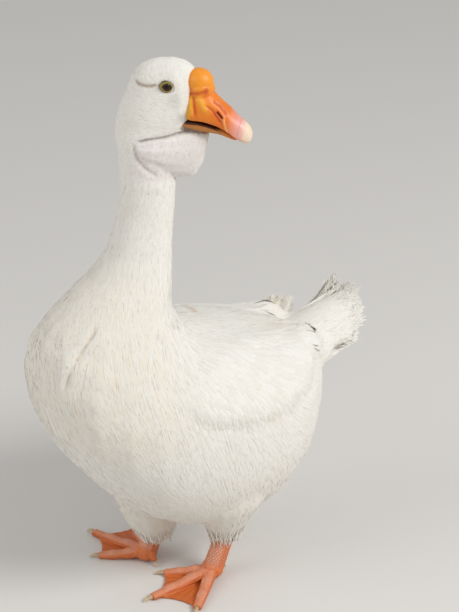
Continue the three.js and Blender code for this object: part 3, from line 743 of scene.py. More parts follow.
def scatter(skin, allowed, spacing_scale):
    """Evenly spread places on the skin, no two closer than the spacing there."""
    index = np.flatnonzero(allowed[skin.triangles].all(1))
    triangles = skin.triangles[index]
    a, b, c = (skin.position[triangles[:, k]] for k in range(3))
    area = np.linalg.norm(np.cross(b - a, c - a), axis=1) / 2
    spacing = skin.fields["spacing"][triangles].mean(1) * spacing_scale
    wanted = area / spacing ** 2
    count = int(wanted.sum() * TRIES)
    chosen = RNG.choice(len(triangles), count, p=wanted / wanted.sum())
    r1, r2 = np.sqrt(RNG.random(count)), RNG.random(count)
    weights = np.stack([1 - r1, r1 * (1 - r2), r1 * r2], axis=1)
    places = (skin.position[triangles[chosen]] * weights[..., None]).sum(1)
    reach = (spacing[chosen] ** 2).tolist()
    cells = np.floor(places / float(spacing.max())).astype(int).tolist()
    grid = {}
    kept = []
    around = [(i, j, k) for i in (-1, 0, 1) for j in (-1, 0, 1) for k in (-1, 0, 1)]
    for n, ((x, y, z), (i, j, k)) in enumerate(zip(places.tolist(), cells)):
        near = (point for di, dj, dk in around for point in grid.get((i + di, j + dj, k + dk), ()))
        if all((px - x) ** 2 + (py - y) ** 2 + (pz - z) ** 2 >= reach[n] for px, py, pz in near):
            grid.setdefault((i, j, k), []).append((x, y, z))
            kept.append(n)
    return places[kept], index[chosen[kept]], weights[kept]


def tangent(vectors, normals):
    return unit(vectors - (vectors * normals).sum(1)[:, None] * normals)


def follow(skin, places, way, length):
    """The middles and ends of feathers that run over the skin, with the skin's normals there."""
    middle, face, weights = skin.nearest(places + way * length[:, None] / 2)
    normal = unit(skin.read(skin.normal, face, weights))
    onward = tangent(skin.read(skin.lie, face, weights) + way, normal)
    end, face, weights = skin.nearest(middle + onward * length[:, None] / 2)
    return middle, normal, end, unit(skin.read(skin.normal, face, weights))


def grow(skin, places, face, weights, outline, style):
    """Feathers that leave the skin at the given places and follow it."""
    style = {**PLAIN, **style}
    count = len(places)
    length = skin.read(skin.fields["length"], face, weights) * style["long"]
    length = length * RNG.normal(1, 0.08, count).clip(0.8, 1.25)
    half = skin.read(skin.fields["half"], face, weights) * style["wide"]
    depth = skin.read(skin.fields["depth"], face, weights) * style["lift"]
    normal0 = unit(skin.read(skin.normal, face, weights))
    way0 = tangent(skin.read(skin.lie, face, weights), normal0)
    yaw = RNG.normal(0, style["stray"], count)[:, None]
    way0 = unit(way0 * np.cos(yaw) + np.cross(normal0, way0) * np.sin(yaw))
    _, normal1, _, normal2 = follow(skin, places, way0, length)
    turned = np.minimum((normal0 * normal1).sum(1), (normal0 * normal2).sum(1))
    length = length * (1 - 0.6 * smoothstep(0.85, 0.35, turned))  # short where the skin turns away
    middle, normal1, end, normal2 = follow(skin, places, way0, length)

    rows, widths = outline
    u = rows[:, None]
    first, second, third = (1 - u) * (1 - 2 * u), 4 * u * (1 - u), u * (2 * u - 1)
    line = places[:, None] * first + middle[:, None] * second + end[:, None] * third
    normal = unit(normal0[:, None] * first + normal1[:, None] * second + normal2[:, None] * third)
    root, tip = -0.25 * depth[:, None], depth * RNG.normal(1, style["uneven"], count)
    rise = root + (tip[:, None] - root) * (1 - (1 - rows) ** style["settle"])
    line = line + rise[..., None] * normal
    tilt = RNG.normal(0, 0.03, count)[:, None, None]
    side = np.cross(normal, unit(np.gradient(line, axis=1)))
    normal = unit(normal + side * tilt)
    ragged = RNG.normal(1, style["ragged"], (count, len(rows))).clip(0.8, 1.2)
    half = half[:, None] * widths * ragged
    thick = np.broadcast_to(style["thick"] * MM, half.shape) * np.linspace(1, 0.5, len(rows))
    return vanes(line, normal, half, thick, style["section"], style["camber"],
                 uv=skin.read_uv(face, weights), root=places, length=length)


def coat_piece(name, feathers, material):
    """Feathers as mesh objects of at most FEATHER_FACES triangles, split from front to back."""
    count, corners, _ = feathers["position"].shape
    faces = feathers["faces"]
    pieces = math.ceil(count * len(faces) / FEATHER_FACES)
    order = np.array_split(np.argsort(feathers["root"][:, 1]), pieces)
    for number, chosen in enumerate(order):
        places = feathers["position"][chosen].reshape(-1, 3)
        starts = (np.arange(len(chosen)) * corners)[:, None, None]
        label = name if pieces == 1 else f"{name}_{number + 1}"
        piece = make_mesh(label, places, (faces + starts).reshape(-1, 3))
        across, along = np.moveaxis(feathers["local"][chosen], 2, 0)
        share = across / np.maximum(np.abs(across).max(1, keepdims=True), 1e-9)
        patch = np.stack([share / 2, along - 0.5], axis=2) * PATCH
        vane = np.stack([across, along * feathers["length"][chosen, None]], axis=2) / MM
        set_uv(piece, "OFBake", (feathers["uv"][chosen, None] + patch).reshape(-1, 2))
        set_uv(piece, "Vane", vane.reshape(-1, 2))
        tuft = np.repeat(RNG.random(len(chosen)), corners)
        set_tuft(piece, tuft)
        finish_piece(piece, marking_and_shade(places, tuft), material)
        piece.data.set_sharp_from_angle(angle=SHARP)


def fan_point(across, along, above=0.0):
    """A place in the tail's fan: across -1..1, along 0 at the root to 1 at the tip, mm above it."""
    side = across * tail_size("half", along)
    reach = along * TAIL["length"] * (1 - TAIL["rounding"] * across ** 2)
    up = above - tail_size("arch", along) * across ** 2
    local = side[..., None] * np.array([1.0, 0, 0]) + reach[..., None] * TAIL_BACK \
        + up[..., None] * TAIL_OVER
    return ORIGIN + (np.array(TAIL["root"]) + local) * MM


def quills(skin, middle, normal, half, outline, thick):
    """Large feathers with a raised shaft, from their middle lines."""
    rows, widths = outline
    ragged = RNG.normal(1, 0.05, (len(middle), len(rows)))
    half = half * MM * widths * ragged
    thickness = thick * MM * np.linspace(1, 0.4, len(rows)) * np.ones((len(middle), 1))
    length = np.linalg.norm(np.diff(middle, axis=1), axis=2).sum(1)
    root = middle[:, 0]
    _, face, weights = skin.nearest(root)
    return vanes(middle, normal, half, thickness, LARGE_SECTION, 0.06, uv=skin.read_uv(face, weights),
                 root=root, length=length, lines=(middle, normal, half))


def fine_strands(start, way, facing, long, lengths, widths, thick, **more):
    """Straight thin strands; lengths are shares of the longest, half widths are in mm."""
    rows, outline = LANCE
    length = long * MM * RNG.uniform(*lengths, len(start))
    line = start[:, None] + way[:, None] * length[:, None, None] * rows[:, None]
    half = RNG.uniform(*widths, len(start))[:, None] * MM * outline
    facing = np.broadcast_to(facing[:, None], line.shape)
    return vanes(line, facing, half, np.full(half.shape, thick * MM), SMALL_SECTION, 0.05,
                 length=length, **more)


# Loose barbs on each large feather, and the longest of them in mm.
BARBS = {"tail_feathers": (26, 12), "others": (12, 8)}


def barbs(feathers, each, long):
    """Loose barbs that leave the edges and tips of large feathers and make them ragged."""
    middle, normal, half = feathers["lines"]
    chosen = np.repeat(np.arange(len(middle)), each)
    count = len(chosen)
    place = RNG.uniform(0.4, 0.999, count) * (middle.shape[1] - 1)
    row = place.astype(int)
    share = (place - row)[:, None]
    here, there = middle[chosen, row], middle[chosen, row + 1]
    ahead, facing = unit(there - here), normal[chosen, row]
    side = unit(np.cross(ahead, facing)) * RNG.uniform(-0.9, 0.9, count)[:, None]
    start = here * (1 - share) + there * share + side * half[chosen, row][:, None] + facing * 0.2 * MM
    way = unit(ahead + side * 0.5 + RNG.normal(0, 0.05, (count, 3)))
    return fine_strands(start, way, facing, long, (0.5, 1.0), (0.4, 0.9), 0.1,
                        uv=feathers["uv"][chosen], root=start)


def tail_fan(skin):
    """The tail's flight feathers in layers, the middle pair on top."""
    level, across, end = (np.concatenate(column)[:, None] for column in zip(*(
        (np.full(count, height), np.linspace(-0.93, 0.93, count), np.full(count, reach))
        for height, count, reach in TAIL["layers"])))
    rows, start = QUILL[0], 0.10
    layer = (1 - np.abs(across)) * 4.0 - 2.0
    end = end * RNG.normal(1.0, 0.03, len(across))[:, None]
    along = start + (end - start) * rows
    lean = across * (0.82 + 0.16 * rows)
    wedge = np.where(level > 0, tail_size("above", along), tail_size("below", along))
    above = layer + level * wedge * (1 - lean ** 2)
    middle = fan_point(lean, along, above)
    aside = fan_point(lean + 0.02, along, above) - middle
    normal = unit(np.cross(aside, np.gradient(middle, axis=1)))
    return quills(skin, middle, normal, 8.6, QUILL, 0.55)


def wedge_point(turn, along, over=0.0):
    """A place on the soft feathering round the fan: turn 0 at its left edge, a quarter on top."""
    height = np.where(np.sin(turn) > 0, tail_size("above", along), tail_size("below", along))
    height = height * np.sin(turn)
    return fan_point(np.cos(turn) * 0.97, along, height + over * np.tanh(4 * np.sin(turn)))


# Rings of soft feathers round the tail's fan: how many, and where they start and how long they
# are as shares of the fan.
COVERTS = {"tail_coverts": (200, (0.36, 0.62), (0.22, 0.30)), "tail_tips": (130, (0.58, 0.70), (0.24, 0.31))}


def tail_coverts(skin, count, starts, lengths):
    """Soft feathers that close over the roots of the fan, above and below."""
    turn = np.linspace(0, 2 * math.pi, count, endpoint=False) + RNG.normal(0, 0.03, count)
    rows = SOFT_QUILL[0]
    start = RNG.uniform(*starts, count)
    long = RNG.uniform(*lengths, count)
    along = start[:, None] + long[:, None] * rows
    bend = turn[:, None] + RNG.normal(0, 0.05, count)[:, None] * rows
    middle = wedge_point(bend, along, 0.4 - 7.0 * (1 - rows) ** 3)
    aside = wedge_point(bend - 0.12, along) - wedge_point(bend + 0.12, along)
    normal = unit(np.cross(aside, np.gradient(middle, axis=1)))
    return quills(skin, middle, normal, 5.6, SOFT_QUILL, 0.25)


# Soft feathers that stand off the others: curves through their tips, in mm from the goose's own
# origin, how many there are, how far ahead they are rooted, and their half width.
RAISED = {
    "tail_plume": ([(-38, 209, 321), (-34, 216, 334), (-30, 220, 347), (-22, 220, 340), (-10, 217, 338)],
                   30, 78, 3.8),
    "wing_tuft": ([(-70, 130, 311), (-66, 140, 317), (-60, 147, 322), (-56, 156, 319), (-54, 161, 317),
                   (-52, 167, 312), (-50, 169, 303)], 34, 52, 4.0),
}


def raised_feathers(skin, tips, count, reach, half):
    """Soft feathers that leave the skin along its lie and rise to ragged tips."""
    ends = ORIGIN + catmull(tips, np.sort(RNG.random(count))) * MM
    guess = ends - TAIL_BACK * (reach * RNG.uniform(0.85, 1.1, count))[:, None] * MM
    roots, face, weights = skin.nearest(guess)
    normal = unit(skin.read(skin.normal, face, weights))
    lie = tangent(skin.read(skin.lie, face, weights), normal)
    roots = roots - normal * 1.5 * MM
    ends = roots + (ends - roots) * RNG.uniform(0.8, 1.0, count)[:, None]
    span = np.linalg.norm(ends - roots, axis=1)[:, None]
    control = roots + unit(lie + unit(ends - roots)) * span * 0.5
    u = SOFT_QUILL[0][:, None]
    middle = roots[:, None] * (1 - u) ** 2 + 2 * control[:, None] * u * (1 - u) + ends[:, None] * u ** 2
    twist = RNG.normal(0, 0.35, count)[:, None]
    side = unit(np.cross(ends - roots, normal))
    facing = unit(normal * np.cos(twist) + side * np.sin(twist))
    return quills(skin, middle, np.broadcast_to(facing[:, None], middle.shape), half, SOFT_QUILL, 0.22)


# Loose strands that hang past an edge of the plumage: their node, how near its lower end they are
# rooted and how long they are, in mm, and how many there are.
STRANDS = {"thigh_left": (34, 34, 240), "thigh_right": (30, 24, 200)}


def loose_strands(skin, node, near, long, count):
    """Fine strands that leave the skin and run straight on past its end."""
    height = (skin.position[:, 2] - box_of(node)[0][2]) / MM
    index = RNG.choice(np.flatnonzero(skin.owned[node] & (height < near) & (height > 9)), count)
    roots, normal, lie = skin.position[index], skin.normal[index], skin.lie[index]
    way = unit(lie + normal * RNG.uniform(-0.05, 0.12, count)[:, None] + RNG.normal(0, 0.10, (count, 3)))
    _, face, weights = skin.nearest(roots)
    return fine_strands(roots + normal * 0.8 * MM, way, normal, long, (0.6, 1.0), (0.5, 1.1), 0.12,
                        uv=skin.read_uv(face, weights), root=roots)


# ------------------------------------------------------------------ modelled details

def srgb(red, green, blue):
    """A colour written in 0..255 as the linear values that shaders take."""
    share = np.array([red, green, blue]) / 255
    return np.where(share <= 0.04045, share / 12.92, ((share + 0.055) / 1.055) ** 2.4)


def paint(rgb, layers):
    """A base colour under layers of (colour, amount at each place)."""
    for colour, amount in layers:
        amount = np.clip(amount, 0, 1)[:, None]
        rgb = rgb * (1 - amount) + colour * amount
    return rgb


def solid_piece(name, position, triangles, rgb, material, nodes=()):
    piece = make_mesh(name, position, triangles)
    finish_piece(piece, rgb, material)
    if nodes:
        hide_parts(*nodes)


def smooth_solid(parts, voxel, rounds):
    """Overlapping solids as one fine smooth surface."""
    position, triangles = remesh("solid", *join_arrays(parts), voxel)
    position = fair(position, edges_of(triangles), rounds)
    return position, triangles


# The bill as (out, top, bottom, half width) stations in the head's frame, in mm.
UPPER_BILL = [
    (30, 62, 27, 12.5), (38, 63, 24.0, 15.2), (46, 63.5, 22.8, 18.8), (54, 63.5, 24.0, 19.3),
    (62, 61.5, 25.0, 18.6), (70, 56.4, 24.6, 17.8), (78, 51.6, 23.8, 17.0), (86, 47.2, 21.6, 16.0),
    (93, 42.4, 18.8, 15.0), (99, 38.8, 15.8, 13.9), (105, 35.9, 13.0, 12.7),
]
NAIL = [
    (103, 37.4, 13.6, 13.5), (107, 35.3, 12.1, 12.6), (111, 32.6, 11.2, 11.0), (115, 29.4, 11.0, 8.6),
    (118, 24.8, 12.8, 5.4), (119.2, 20.5, 15.6, 1.6),
]
LOWER_BILL = [
    (34, 22, 13.4, 14.2), (44, 23.6, 12.8, 15.2), (54, 24.6, 12.5, 15.2), (64, 24.6, 12.8, 14.6),
    (74, 24.0, 14.2, 13.9), (83, 22.4, 14.8, 13.2), (92, 19.4, 13.6, 11.8), (99, 16.2, 12.2, 9.8),
    (104, 14.2, 12.2, 6.5),
]
# Where the feathers end against the bill: 'out' for each 'up'.
FEATHER_EDGE = {12: 38, 21.5: 43.2, 26: 46.0, 32: 46.8, 38.6: 45.6, 43.8: 43.2, 51.3: 40.4, 57.6: 39.2,
                65.2: 36.6, 72.8: 34.8, 79.6: 35.8, 84.5: 39.5, 90: 44.0}

# Furrows and ridges of the upper bill as runs of (out, up), with their widths and heights, in mm.
BILL_RELIEF = [
    ([(68.0, 54.0), (70.4, 53.0), (76.4, 50.1), (82.3, 45.7), (85.6, 41.4)], 1.3, -0.9),
    ([(60.0, 48.5), (64.7, 46.5), (69.1, 44.2), (77.5, 36.5), (85.4, 28.0)], 1.6, -0.9),
    ([(44.2, 54.5), (44.8, 52.7), (47.1, 46.4), (49.7, 39.7), (52.2, 31.8)], 1.7, -1.2),
    ([(38.5, 55.0), (43.2, 57.2), (47.7, 59.6), (52.0, 61.8), (56.5, 65.0)], 2.2, -0.4),
    ([(82.6, 40.4), (83.9, 38.0), (85.4, 33.4), (88.4, 26.3), (93.0, 21.3)], 1.1, 0.5),
    ([(48.5, 57.0), (52.5, 53.2), (57.8, 47.7), (64.5, 41.5)], 3.8, 1.2),
    ([(40.6, 51.3), (43.1, 43.8), (46.4, 38.6), (47.5, 32.0)], 1.8, 0.8),
]
TIP_RIDGE = BILL_RELIEF[4][0]  # the ridge that crosses the bill behind its pale tip
NOSTRIL = [(75.4, 43.4), (79.0, 40.4), (81.8, 38.2)]
RED_HOLLOW = (57.6, 63.5)  # where the knob meets the bill
# The cutting edge of the upper bill, along which the bill is closed.
TOMIUM = [(42.0, 22.2), (48.0, 23.4), (54.6, 24.9), (65.4, 25.0), (73.7, 24.3), (81.9, 22.9),
          (89.3, 20.4), (96.7, 17.0), (103.0, 14.0), (110.0, 11.6)]


def build_upper_bill(material):
    knob = ball((0, 45.6, 68.6), (15.0, 16.6, 15.6))
    collar = ball((0, 50.0, 60.0), (17.2, 15.6, 15.0))
    bill = head_loft(UPPER_BILL, (2.25, 3.4))
    position, triangles = smooth_solid([bill, knob, collar], 0.62 * MM, 26)
    side, out, up, _ = world_to_head(position)
    flank = smoothstep(3, 7, np.abs(side))
    furrow, raised, push = np.zeros((3, len(side)))
    for line, width, height in BILL_RELIEF:
        near = ridge(out, up, line, width) * flank
        push += height * near
        strongest = furrow if height < 0 else raised
        np.maximum(strongest, near, out=strongest)
    slit, _ = to_line(out, up, NOSTRIL)
    push += (0.5 * np.exp(-((slit - 2.3) / 0.9) ** 2) - 2.0 * np.exp(-(slit / 1.0) ** 3)) * flank
    hollow = np.exp(-(np.hypot(out - RED_HOLLOW[0], (up - RED_HOLLOW[1]) * 0.7) / 3.2) ** 2) * flank
    push -= 1.0 * hollow
    lip, _ = to_line(out, up, TOMIUM)
    push += 0.35 * np.exp(-((lip - 2.6) / 1.1) ** 2) * flank
    rgb = paint(srgb(236, 128, 22), [
        (srgb(243, 152, 36), smoothstep(58, 66, up) * smoothstep(70, 60, out)),  # the knob
        (srgb(222, 100, 22), smoothstep(62, 82, out) * smoothstep(60, 40, up) * 0.5),  # the sides
        (srgb(250, 186, 58), raised * 0.75),
        (srgb(240, 178, 46), bump(out - 42, 7) * smoothstep(60, 50, up) * 0.75),  # at the feathers
        (srgb(240, 168, 128), ridge(out, up, TIP_RIDGE, 1.0) * flank * 0.8),
        # Painted shade in the bill's furrows, darker and redder.
        (srgb(196, 74, 14), furrow * 0.75),
        (srgb(186, 62, 20), hollow * 0.9),
        (srgb(202, 98, 30), np.exp(-(lip / 2.2) ** 2) * 0.6),
        (srgb(236, 150, 120), smoothstep(88, 95, out + (up - 32) * 0.1) * 0.85),  # the pale tip
        (srgb(236, 166, 154), smoothstep(94, 101, out) * 0.85),
        (srgb(186, 66, 20), np.exp(-(slit / 1.9) ** 2) * flank * 0.8),  # round the nostril
        # Painted shade in the nostril's slit.
        (srgb(88, 20, 10), np.exp(-(slit / 0.95) ** 3) * flank)])  # in the nostril
    position = pushed(position, vertex_normals(position, triangles), push)
    solid_piece("upper_bill", position, triangles, rgb, material, ["bill_upper", "knob"])


def build_lower_bill(material):
    position, triangles = smooth_solid([head_loft(LOWER_BILL, (5.0, 2.6))], 0.6 * MM, 10)
    normal = vertex_normals(position, triangles)
    side, out, up, _ = world_to_head(position)
    edge, _ = to_line(out, up, TOMIUM)
    band = smoothstep(4.4, 2.8, edge) * smoothstep(2, 6, np.abs(side)) * smoothstep(86, 76, out)
    comb = np.sin(out * 2 * math.pi / 2.1)
    rgb = paint(srgb(184, 118, 54), [
        (srgb(222, 130, 44), smoothstep(80, 96, out) * 0.8),
        # Painted shade on the faces that turn down.
        (srgb(150, 96, 52), smoothstep(0, 1, -normal @ HEAD_ROTATION[:, 2]) * 0.3),
        # Painted shade in the gap under the upper bill's edge.
        (srgb(70, 34, 20), band)])
    position = pushed(position, normal, (-1.3 + 0.22 * comb) * band)
    solid_piece("lower_bill", position, triangles, rgb, material, ["bill_lower"])


def build_nail(material):
    position, triangles = smooth_solid([head_loft(NAIL, (2.25, 3.0))], 0.5 * MM, 10)
    _, out, up, _ = world_to_head(position)
    rgb = paint(srgb(240, 218, 192), [
        (srgb(236, 168, 158), smoothstep(112.5, 105.5, out + (up - 25) * 0.12) * 0.9),
        (srgb(214, 178, 138), smoothstep(20, 12, up) * 0.5)])
    solid_piece("bill_nail", position, triangles, rgb, material, ["nail"])


def eyeball(sign):
    centre, axis, across, over = eye_frame(sign)
    radius = EYE["radius"] / MM - 0.25
    angle = np.radians(np.concatenate([np.linspace(0.5, 44, 30), np.linspace(47, 178, 26)]))
    turn = np.linspace(0, 2 * math.pi, 64, endpoint=False)
    cornea = 1 + 0.045 * bump(angle, math.radians(40))
    ring = np.cos(turn)[:, None] * across + np.sin(turn)[:, None] * over
    points = centre + radius * cornea[:, None, None] * (
        np.cos(angle)[:, None, None] * axis + np.sin(angle)[:, None, None] * ring)
    position = head_to_world(*points.reshape(-1, 3).T)
    degrees = np.repeat(np.degrees(angle), len(turn))
    spokes = 0.5 + 0.5 * np.sin(np.tile(turn, len(angle)) * 23 + np.sin(degrees) * 2)
    rgb = paint(srgb(40, 25, 12), [
        (srgb(84, 54, 22), spokes * smoothstep(17, 22, degrees) * 0.6),  # the iris
        (srgb(6, 5, 5), smoothstep(17.5, 16, degrees)),  # the pupil
        (srgb(18, 12, 8), smoothstep(33, 38, degrees))])  # the rim of the iris
    return position, outward(position, tube_faces(len(angle), len(turn))), rgb


def eye_ring(sign):
    """The lids: a fleshy ring that lies on the ball and on the face round it."""
    centre, axis, across, over = eye_frame(sign)
    turn = np.linspace(0, 2 * math.pi, 96, endpoint=False)
    roll = np.linspace(0, 2 * math.pi, 20, endpoint=False)
    inner, outer = np.array(EYE_OPENING), np.array(EYE_RING)
    middle, half = (inner + outer) / 2, (outer - inner) / 2
    wrinkle = 1 + 0.05 * np.sin(turn * 31) + 0.04 * np.sin(turn * 17 + 1)
    corner = 1 + 0.10 * (np.abs(np.cos(turn)) ** 6)
    share = middle + half * np.cos(roll)[:, None]
    x = share[:, None, 0] * np.cos(turn) * corner
    y = share[:, None, 1] * np.sin(turn) * (1 - 0.05 * np.cos(2 * turn))
    depth = -LID_BEHIND + np.sqrt(LID_RADIUS ** 2 - x ** 2 - y ** 2)
    lift = 0.25 + 0.95 * np.sin(roll)[:, None] * wrinkle
    surface = x[..., None] * across + y[..., None] * over + depth[..., None] * axis
    points = centre + surface + lift[..., None] * unit(surface + LID_BEHIND * axis)
    position = head_to_world(*points.reshape(-1, 3).T)
    rgb = paint(srgb(122, 104, 52), [
        (colour, np.repeat(amount, len(turn))) for colour, amount in (
            (srgb(158, 138, 62), smoothstep(0.2, 1, np.sin(roll)) * 0.6),
            # Painted shade at the ring's outer edge, where it meets the face.
            (srgb(104, 84, 62), smoothstep(0.3, 0.9, np.cos(roll)) * 0.9),
            (srgb(60, 46, 22), smoothstep(0.5, 1.0, -np.cos(roll)) * 0.8))])
    return position, outward(position, grid_faces(len(roll), len(turn), closed_rows=True)), rgb


def build_eyes(eye_material, lid_material):
    for name, build, material, slot, nodes in (
            ("eyes", eyeball, eye_material, "eye", EYES),
            ("eyelids", eye_ring, lid_material, "leg_skin", ())):
        pair = [build(sign) for sign in (-1, 1)]
        position, faces = join_arrays([solid[:2] for solid in pair])
        rgb = np.concatenate([solid[2] for solid in pair])
        solid_piece(name, position, faces, rgb, material, nodes)


# The hub of each foot, where its toes meet the shank, in mm from the goose's own origin.
HUBS = {"left": (42, -29, 13), "right": (-41.5, -78.5, 13)}
TOES = ("inner", "middle", "outer")


def build_leg(side, material):
    nodes = [f"shank_{side}", f"foot_{side}"]
    parts = [node_arrays(node, 0.3 * MM) for node in nodes]
    position, triangles = smooth_solid(parts, 0.8 * MM, 18)
    normal = vertex_normals(position, triangles)
    hub = ORIGIN + np.array(HUBS[side]) * MM
    flat = (position - hub) / MM
    # How much a place is on a toe, how many plates along it, and how near to a joint.
    on_toe, band, knuckle = np.zeros((3, len(position)))
    for toe in TOES:
        claw = (box_centre(f"claw_{side}_{toe}") - hub)[:2] / MM
        reach = np.linalg.norm(claw)
        ahead = claw / reach
        along = flat[:, :2] @ ahead
        aside = np.abs(flat[:, 0] * ahead[1] - flat[:, 1] * ahead[0])
        width = 7.5 - 2.0 * along / reach
        near = smoothstep(1.15, 0.75, aside / width) * smoothstep(8, 16, along)
        band = np.where(near > on_toe, along / 2.7 + 0.14 * aside, band)
        for joint in (0.34, 0.66):
            knuckle = np.maximum(knuckle, bump(along / reach - joint, 0.13) * near)
        on_toe = np.maximum(on_toe, near)
    hock_way = unit(np.array([0.05, 0.33, 1.0]))
    height = flat @ hock_way
    shank = smoothstep(4, 14, height)
    foot = 1 - shank
    around = np.arctan2(flat @ np.cross(hock_way, [1.0, 0, 0]), flat[:, 0]) * 11
    wall = scale_walls(around, height, 4.0)
    plate = np.abs(np.sin(band * math.pi)) ** 0.5
    top = smoothstep(0.15, 0.6, normal[:, 2])
    web = (1 - on_toe) * foot * smoothstep(12, 20, np.hypot(flat[:, 0], flat[:, 1]))
    spokes = np.sin(np.arctan2(flat[:, 1], flat[:, 0]) * 40)
    push = 0.30 * (plate - 0.6) * on_toe * top * foot
    push += (1.1 * knuckle - 0.3 * on_toe) * foot
    push += -0.45 * wall * shank
    push += 0.25 * spokes * web * top
    position = pushed(position, normal, push)
    position[:, 2] = np.maximum(position[:, 2], 0)
    rgb = paint(srgb(216, 118, 62), [
        (srgb(230, 152, 116), on_toe * top * (0.3 + 0.7 * plate)),  # the toes' plates
        (srgb(232, 168, 138), knuckle * top * 0.5),
        (srgb(228, 166, 136), shank * smoothstep(0.3, -0.6, normal[:, 1])),  # the shank's front
        (srgb(222, 122, 58), shank * smoothstep(0.0, 0.8, normal[:, 1]) * 0.8),  # and its back
        (srgb(184, 92, 60), shank * wall * 0.8),
        (srgb(176, 82, 46), on_toe * top * (1 - plate) * 0.7),  # between the plates
        (srgb(206, 106, 42), web * 0.8),
        (srgb(184, 88, 38), web * (0.5 + 0.5 * spokes) * 0.4),
        # Painted shade on the soles, which face down.
        (srgb(150, 84, 62), smoothstep(-0.2, -0.8, normal[:, 2]) * 0.5)])  # the soles
    solid_piece(f"leg_{side}", position, triangles, rgb, material, nodes)


def scale_walls(x, y, size):
    """1 on the walls between round scales set in slanting rows, 0 inside them."""
    row = y / (size * 0.87)
    first, second = np.full((2, len(x)), 9.0)
    for step in (-1, 0, 1):
        line = np.floor(row) + step
        offset = line % 2 * 0.5
        column = np.round(x / size - offset)
        for aside in (-1, 0, 1):
            jitter = 0.12 * np.sin(line * 12.9 + (column + aside) * 78.2)
            dx = x / size - offset - column - aside - jitter
            dy = (row - line - 0.5) * 0.87
            gap = np.hypot(dx, dy)
            second = np.where(gap < first, first, np.minimum(second, gap))
            first = np.minimum(first, gap)
    return np.exp(-((second - first) / 0.22) ** 2)


def build_claws(material):
    nodes = [f"claw_{side}_{toe}" for side in HUBS for toe in (*TOES, "hind")]
    parts = []
    for node in nodes:
        position, triangles = remesh("claw", *node_arrays(node, 0.1 * MM), 0.5 * MM)
        parts.append((fair(position, edges_of(triangles), 8), triangles))
    position, triangles = join_arrays(parts)
    position[:, 2] = np.maximum(position[:, 2], 0)
    rgb = paint(srgb(208, 186, 150), [
        (srgb(168, 132, 96), smoothstep(4, 8, position[:, 2] / MM) * 0.6)])
    solid_piece("claws", position, triangles, rgb, material, nodes)


# ------------------------------------------------------------------ markings and painted shade

WHITE = np.array([0.86, 0.845, 0.80])
CREAM = np.array([0.80, 0.70, 0.52])
# Cream and tan places, in mm from the goose's own origin: centre, reach and strength.
# The first cream place, on the back between the wings, is painted shade in the hollow there.
CREAM_AND_SHADE_PLACES = [((25, 85, 332), 55, 0.55), ((120, 12, 266), 20, 0.5), ((-20, 150, 318), 30, 0.4),
                ((-60, 146, 316), 30, 0.8)]
TAN_STREAK = [(-35, -11, 360), (-21, -15, 364), (-5, -18, 366)]


def marking_and_shade(points, tuft):
    """The plumage's colour at a place: white, with cream places towards the tail, a tan streak and a little
    dirt low on the body; painted shade as cream streaks on the breast, as cream between the wings on the
    back, low on the body, in the parting and the head's creases, round the lids and on the dewlap.
    """
    x, y, z = world_to_goose(points).T
    streak = 0.15 + 0.85 * smoothstep(0.4, 1.0, tuft)
    breast = smoothstep(-70, -150, y) * smoothstep(220, 300, z) * smoothstep(520, 420, z)
    # Cream streaks on the breast: painted shade of the feathers' strands, set feather by feather.
    layers = [(CREAM, breast * streak * 0.5)]
    for centre, reach, strength in CREAM_AND_SHADE_PLACES:
        near = bump(np.linalg.norm(world_to_goose(points) - centre, axis=1), reach)
        layers.append((CREAM, near * streak * strength))
    side, out, up, near = world_to_head(points)
    flank = smoothstep(3, 9, np.abs(side)) * near
    near_eye = np.minimum(eye_share(points, -1), eye_share(points, 1))
    lores = bump(np.hypot(out - 38, (up - 27) * 0.8), 9) * flank
    cheek = bump(np.hypot(out - 24, (up - 46) * 0.8), 12) * flank
    lobe = smoothstep(-4, -14, up - 0.3 * out) * smoothstep(-12, 4, out) * smoothstep(-56, -50, up)
    return paint(WHITE, layers + [
        (srgb(206, 160, 122), np.exp(-(to_line(x, y, z, TAN_STREAK)[0] / 2.4) ** 2) * 0.7),
        # Greyer low on the body: a little dirt and painted shade under the belly.
        (srgb(208, 196, 176), smoothstep(230, 100, z) * (0.12 + 0.3 * streak)),  # low on the body
        # Painted shade in the breast's parting.
        (srgb(150, 122, 88), parting(points, 1.4) * 0.45),
        # Painted shade in the crease behind the eye.
        (srgb(146, 114, 74), ridge(out, up, EYE_CREASE, 1.6) * flank * 0.85),
        # Painted shade in the groove round the lids.
        (srgb(140, 128, 112), bump(near_eye - 1.0, 0.22) * 0.7),  # round the lids
        # Painted shade in the crease over the dewlap, and under its hem where it overhangs the neck.
        (srgb(134, 122, 116), ridge(out, up, DEWLAP_CREASE, 1.5) * flank * 0.85),
        (srgb(178, 170, 160), ridge(out, up, DEWLAP_HEM, 2.2) * flank * 0.5),
        # Painted shade in grey by the gape, and a fainter grey on the cheek.
        (srgb(176, 172, 172), lores * 0.6 + cheek * 0.3),
        # Painted shade on the dewlap, in mauve-grey.
        (srgb(222, 212, 216), lobe * flank * 0.4)])


# ------------------------------------------------------------------ materials

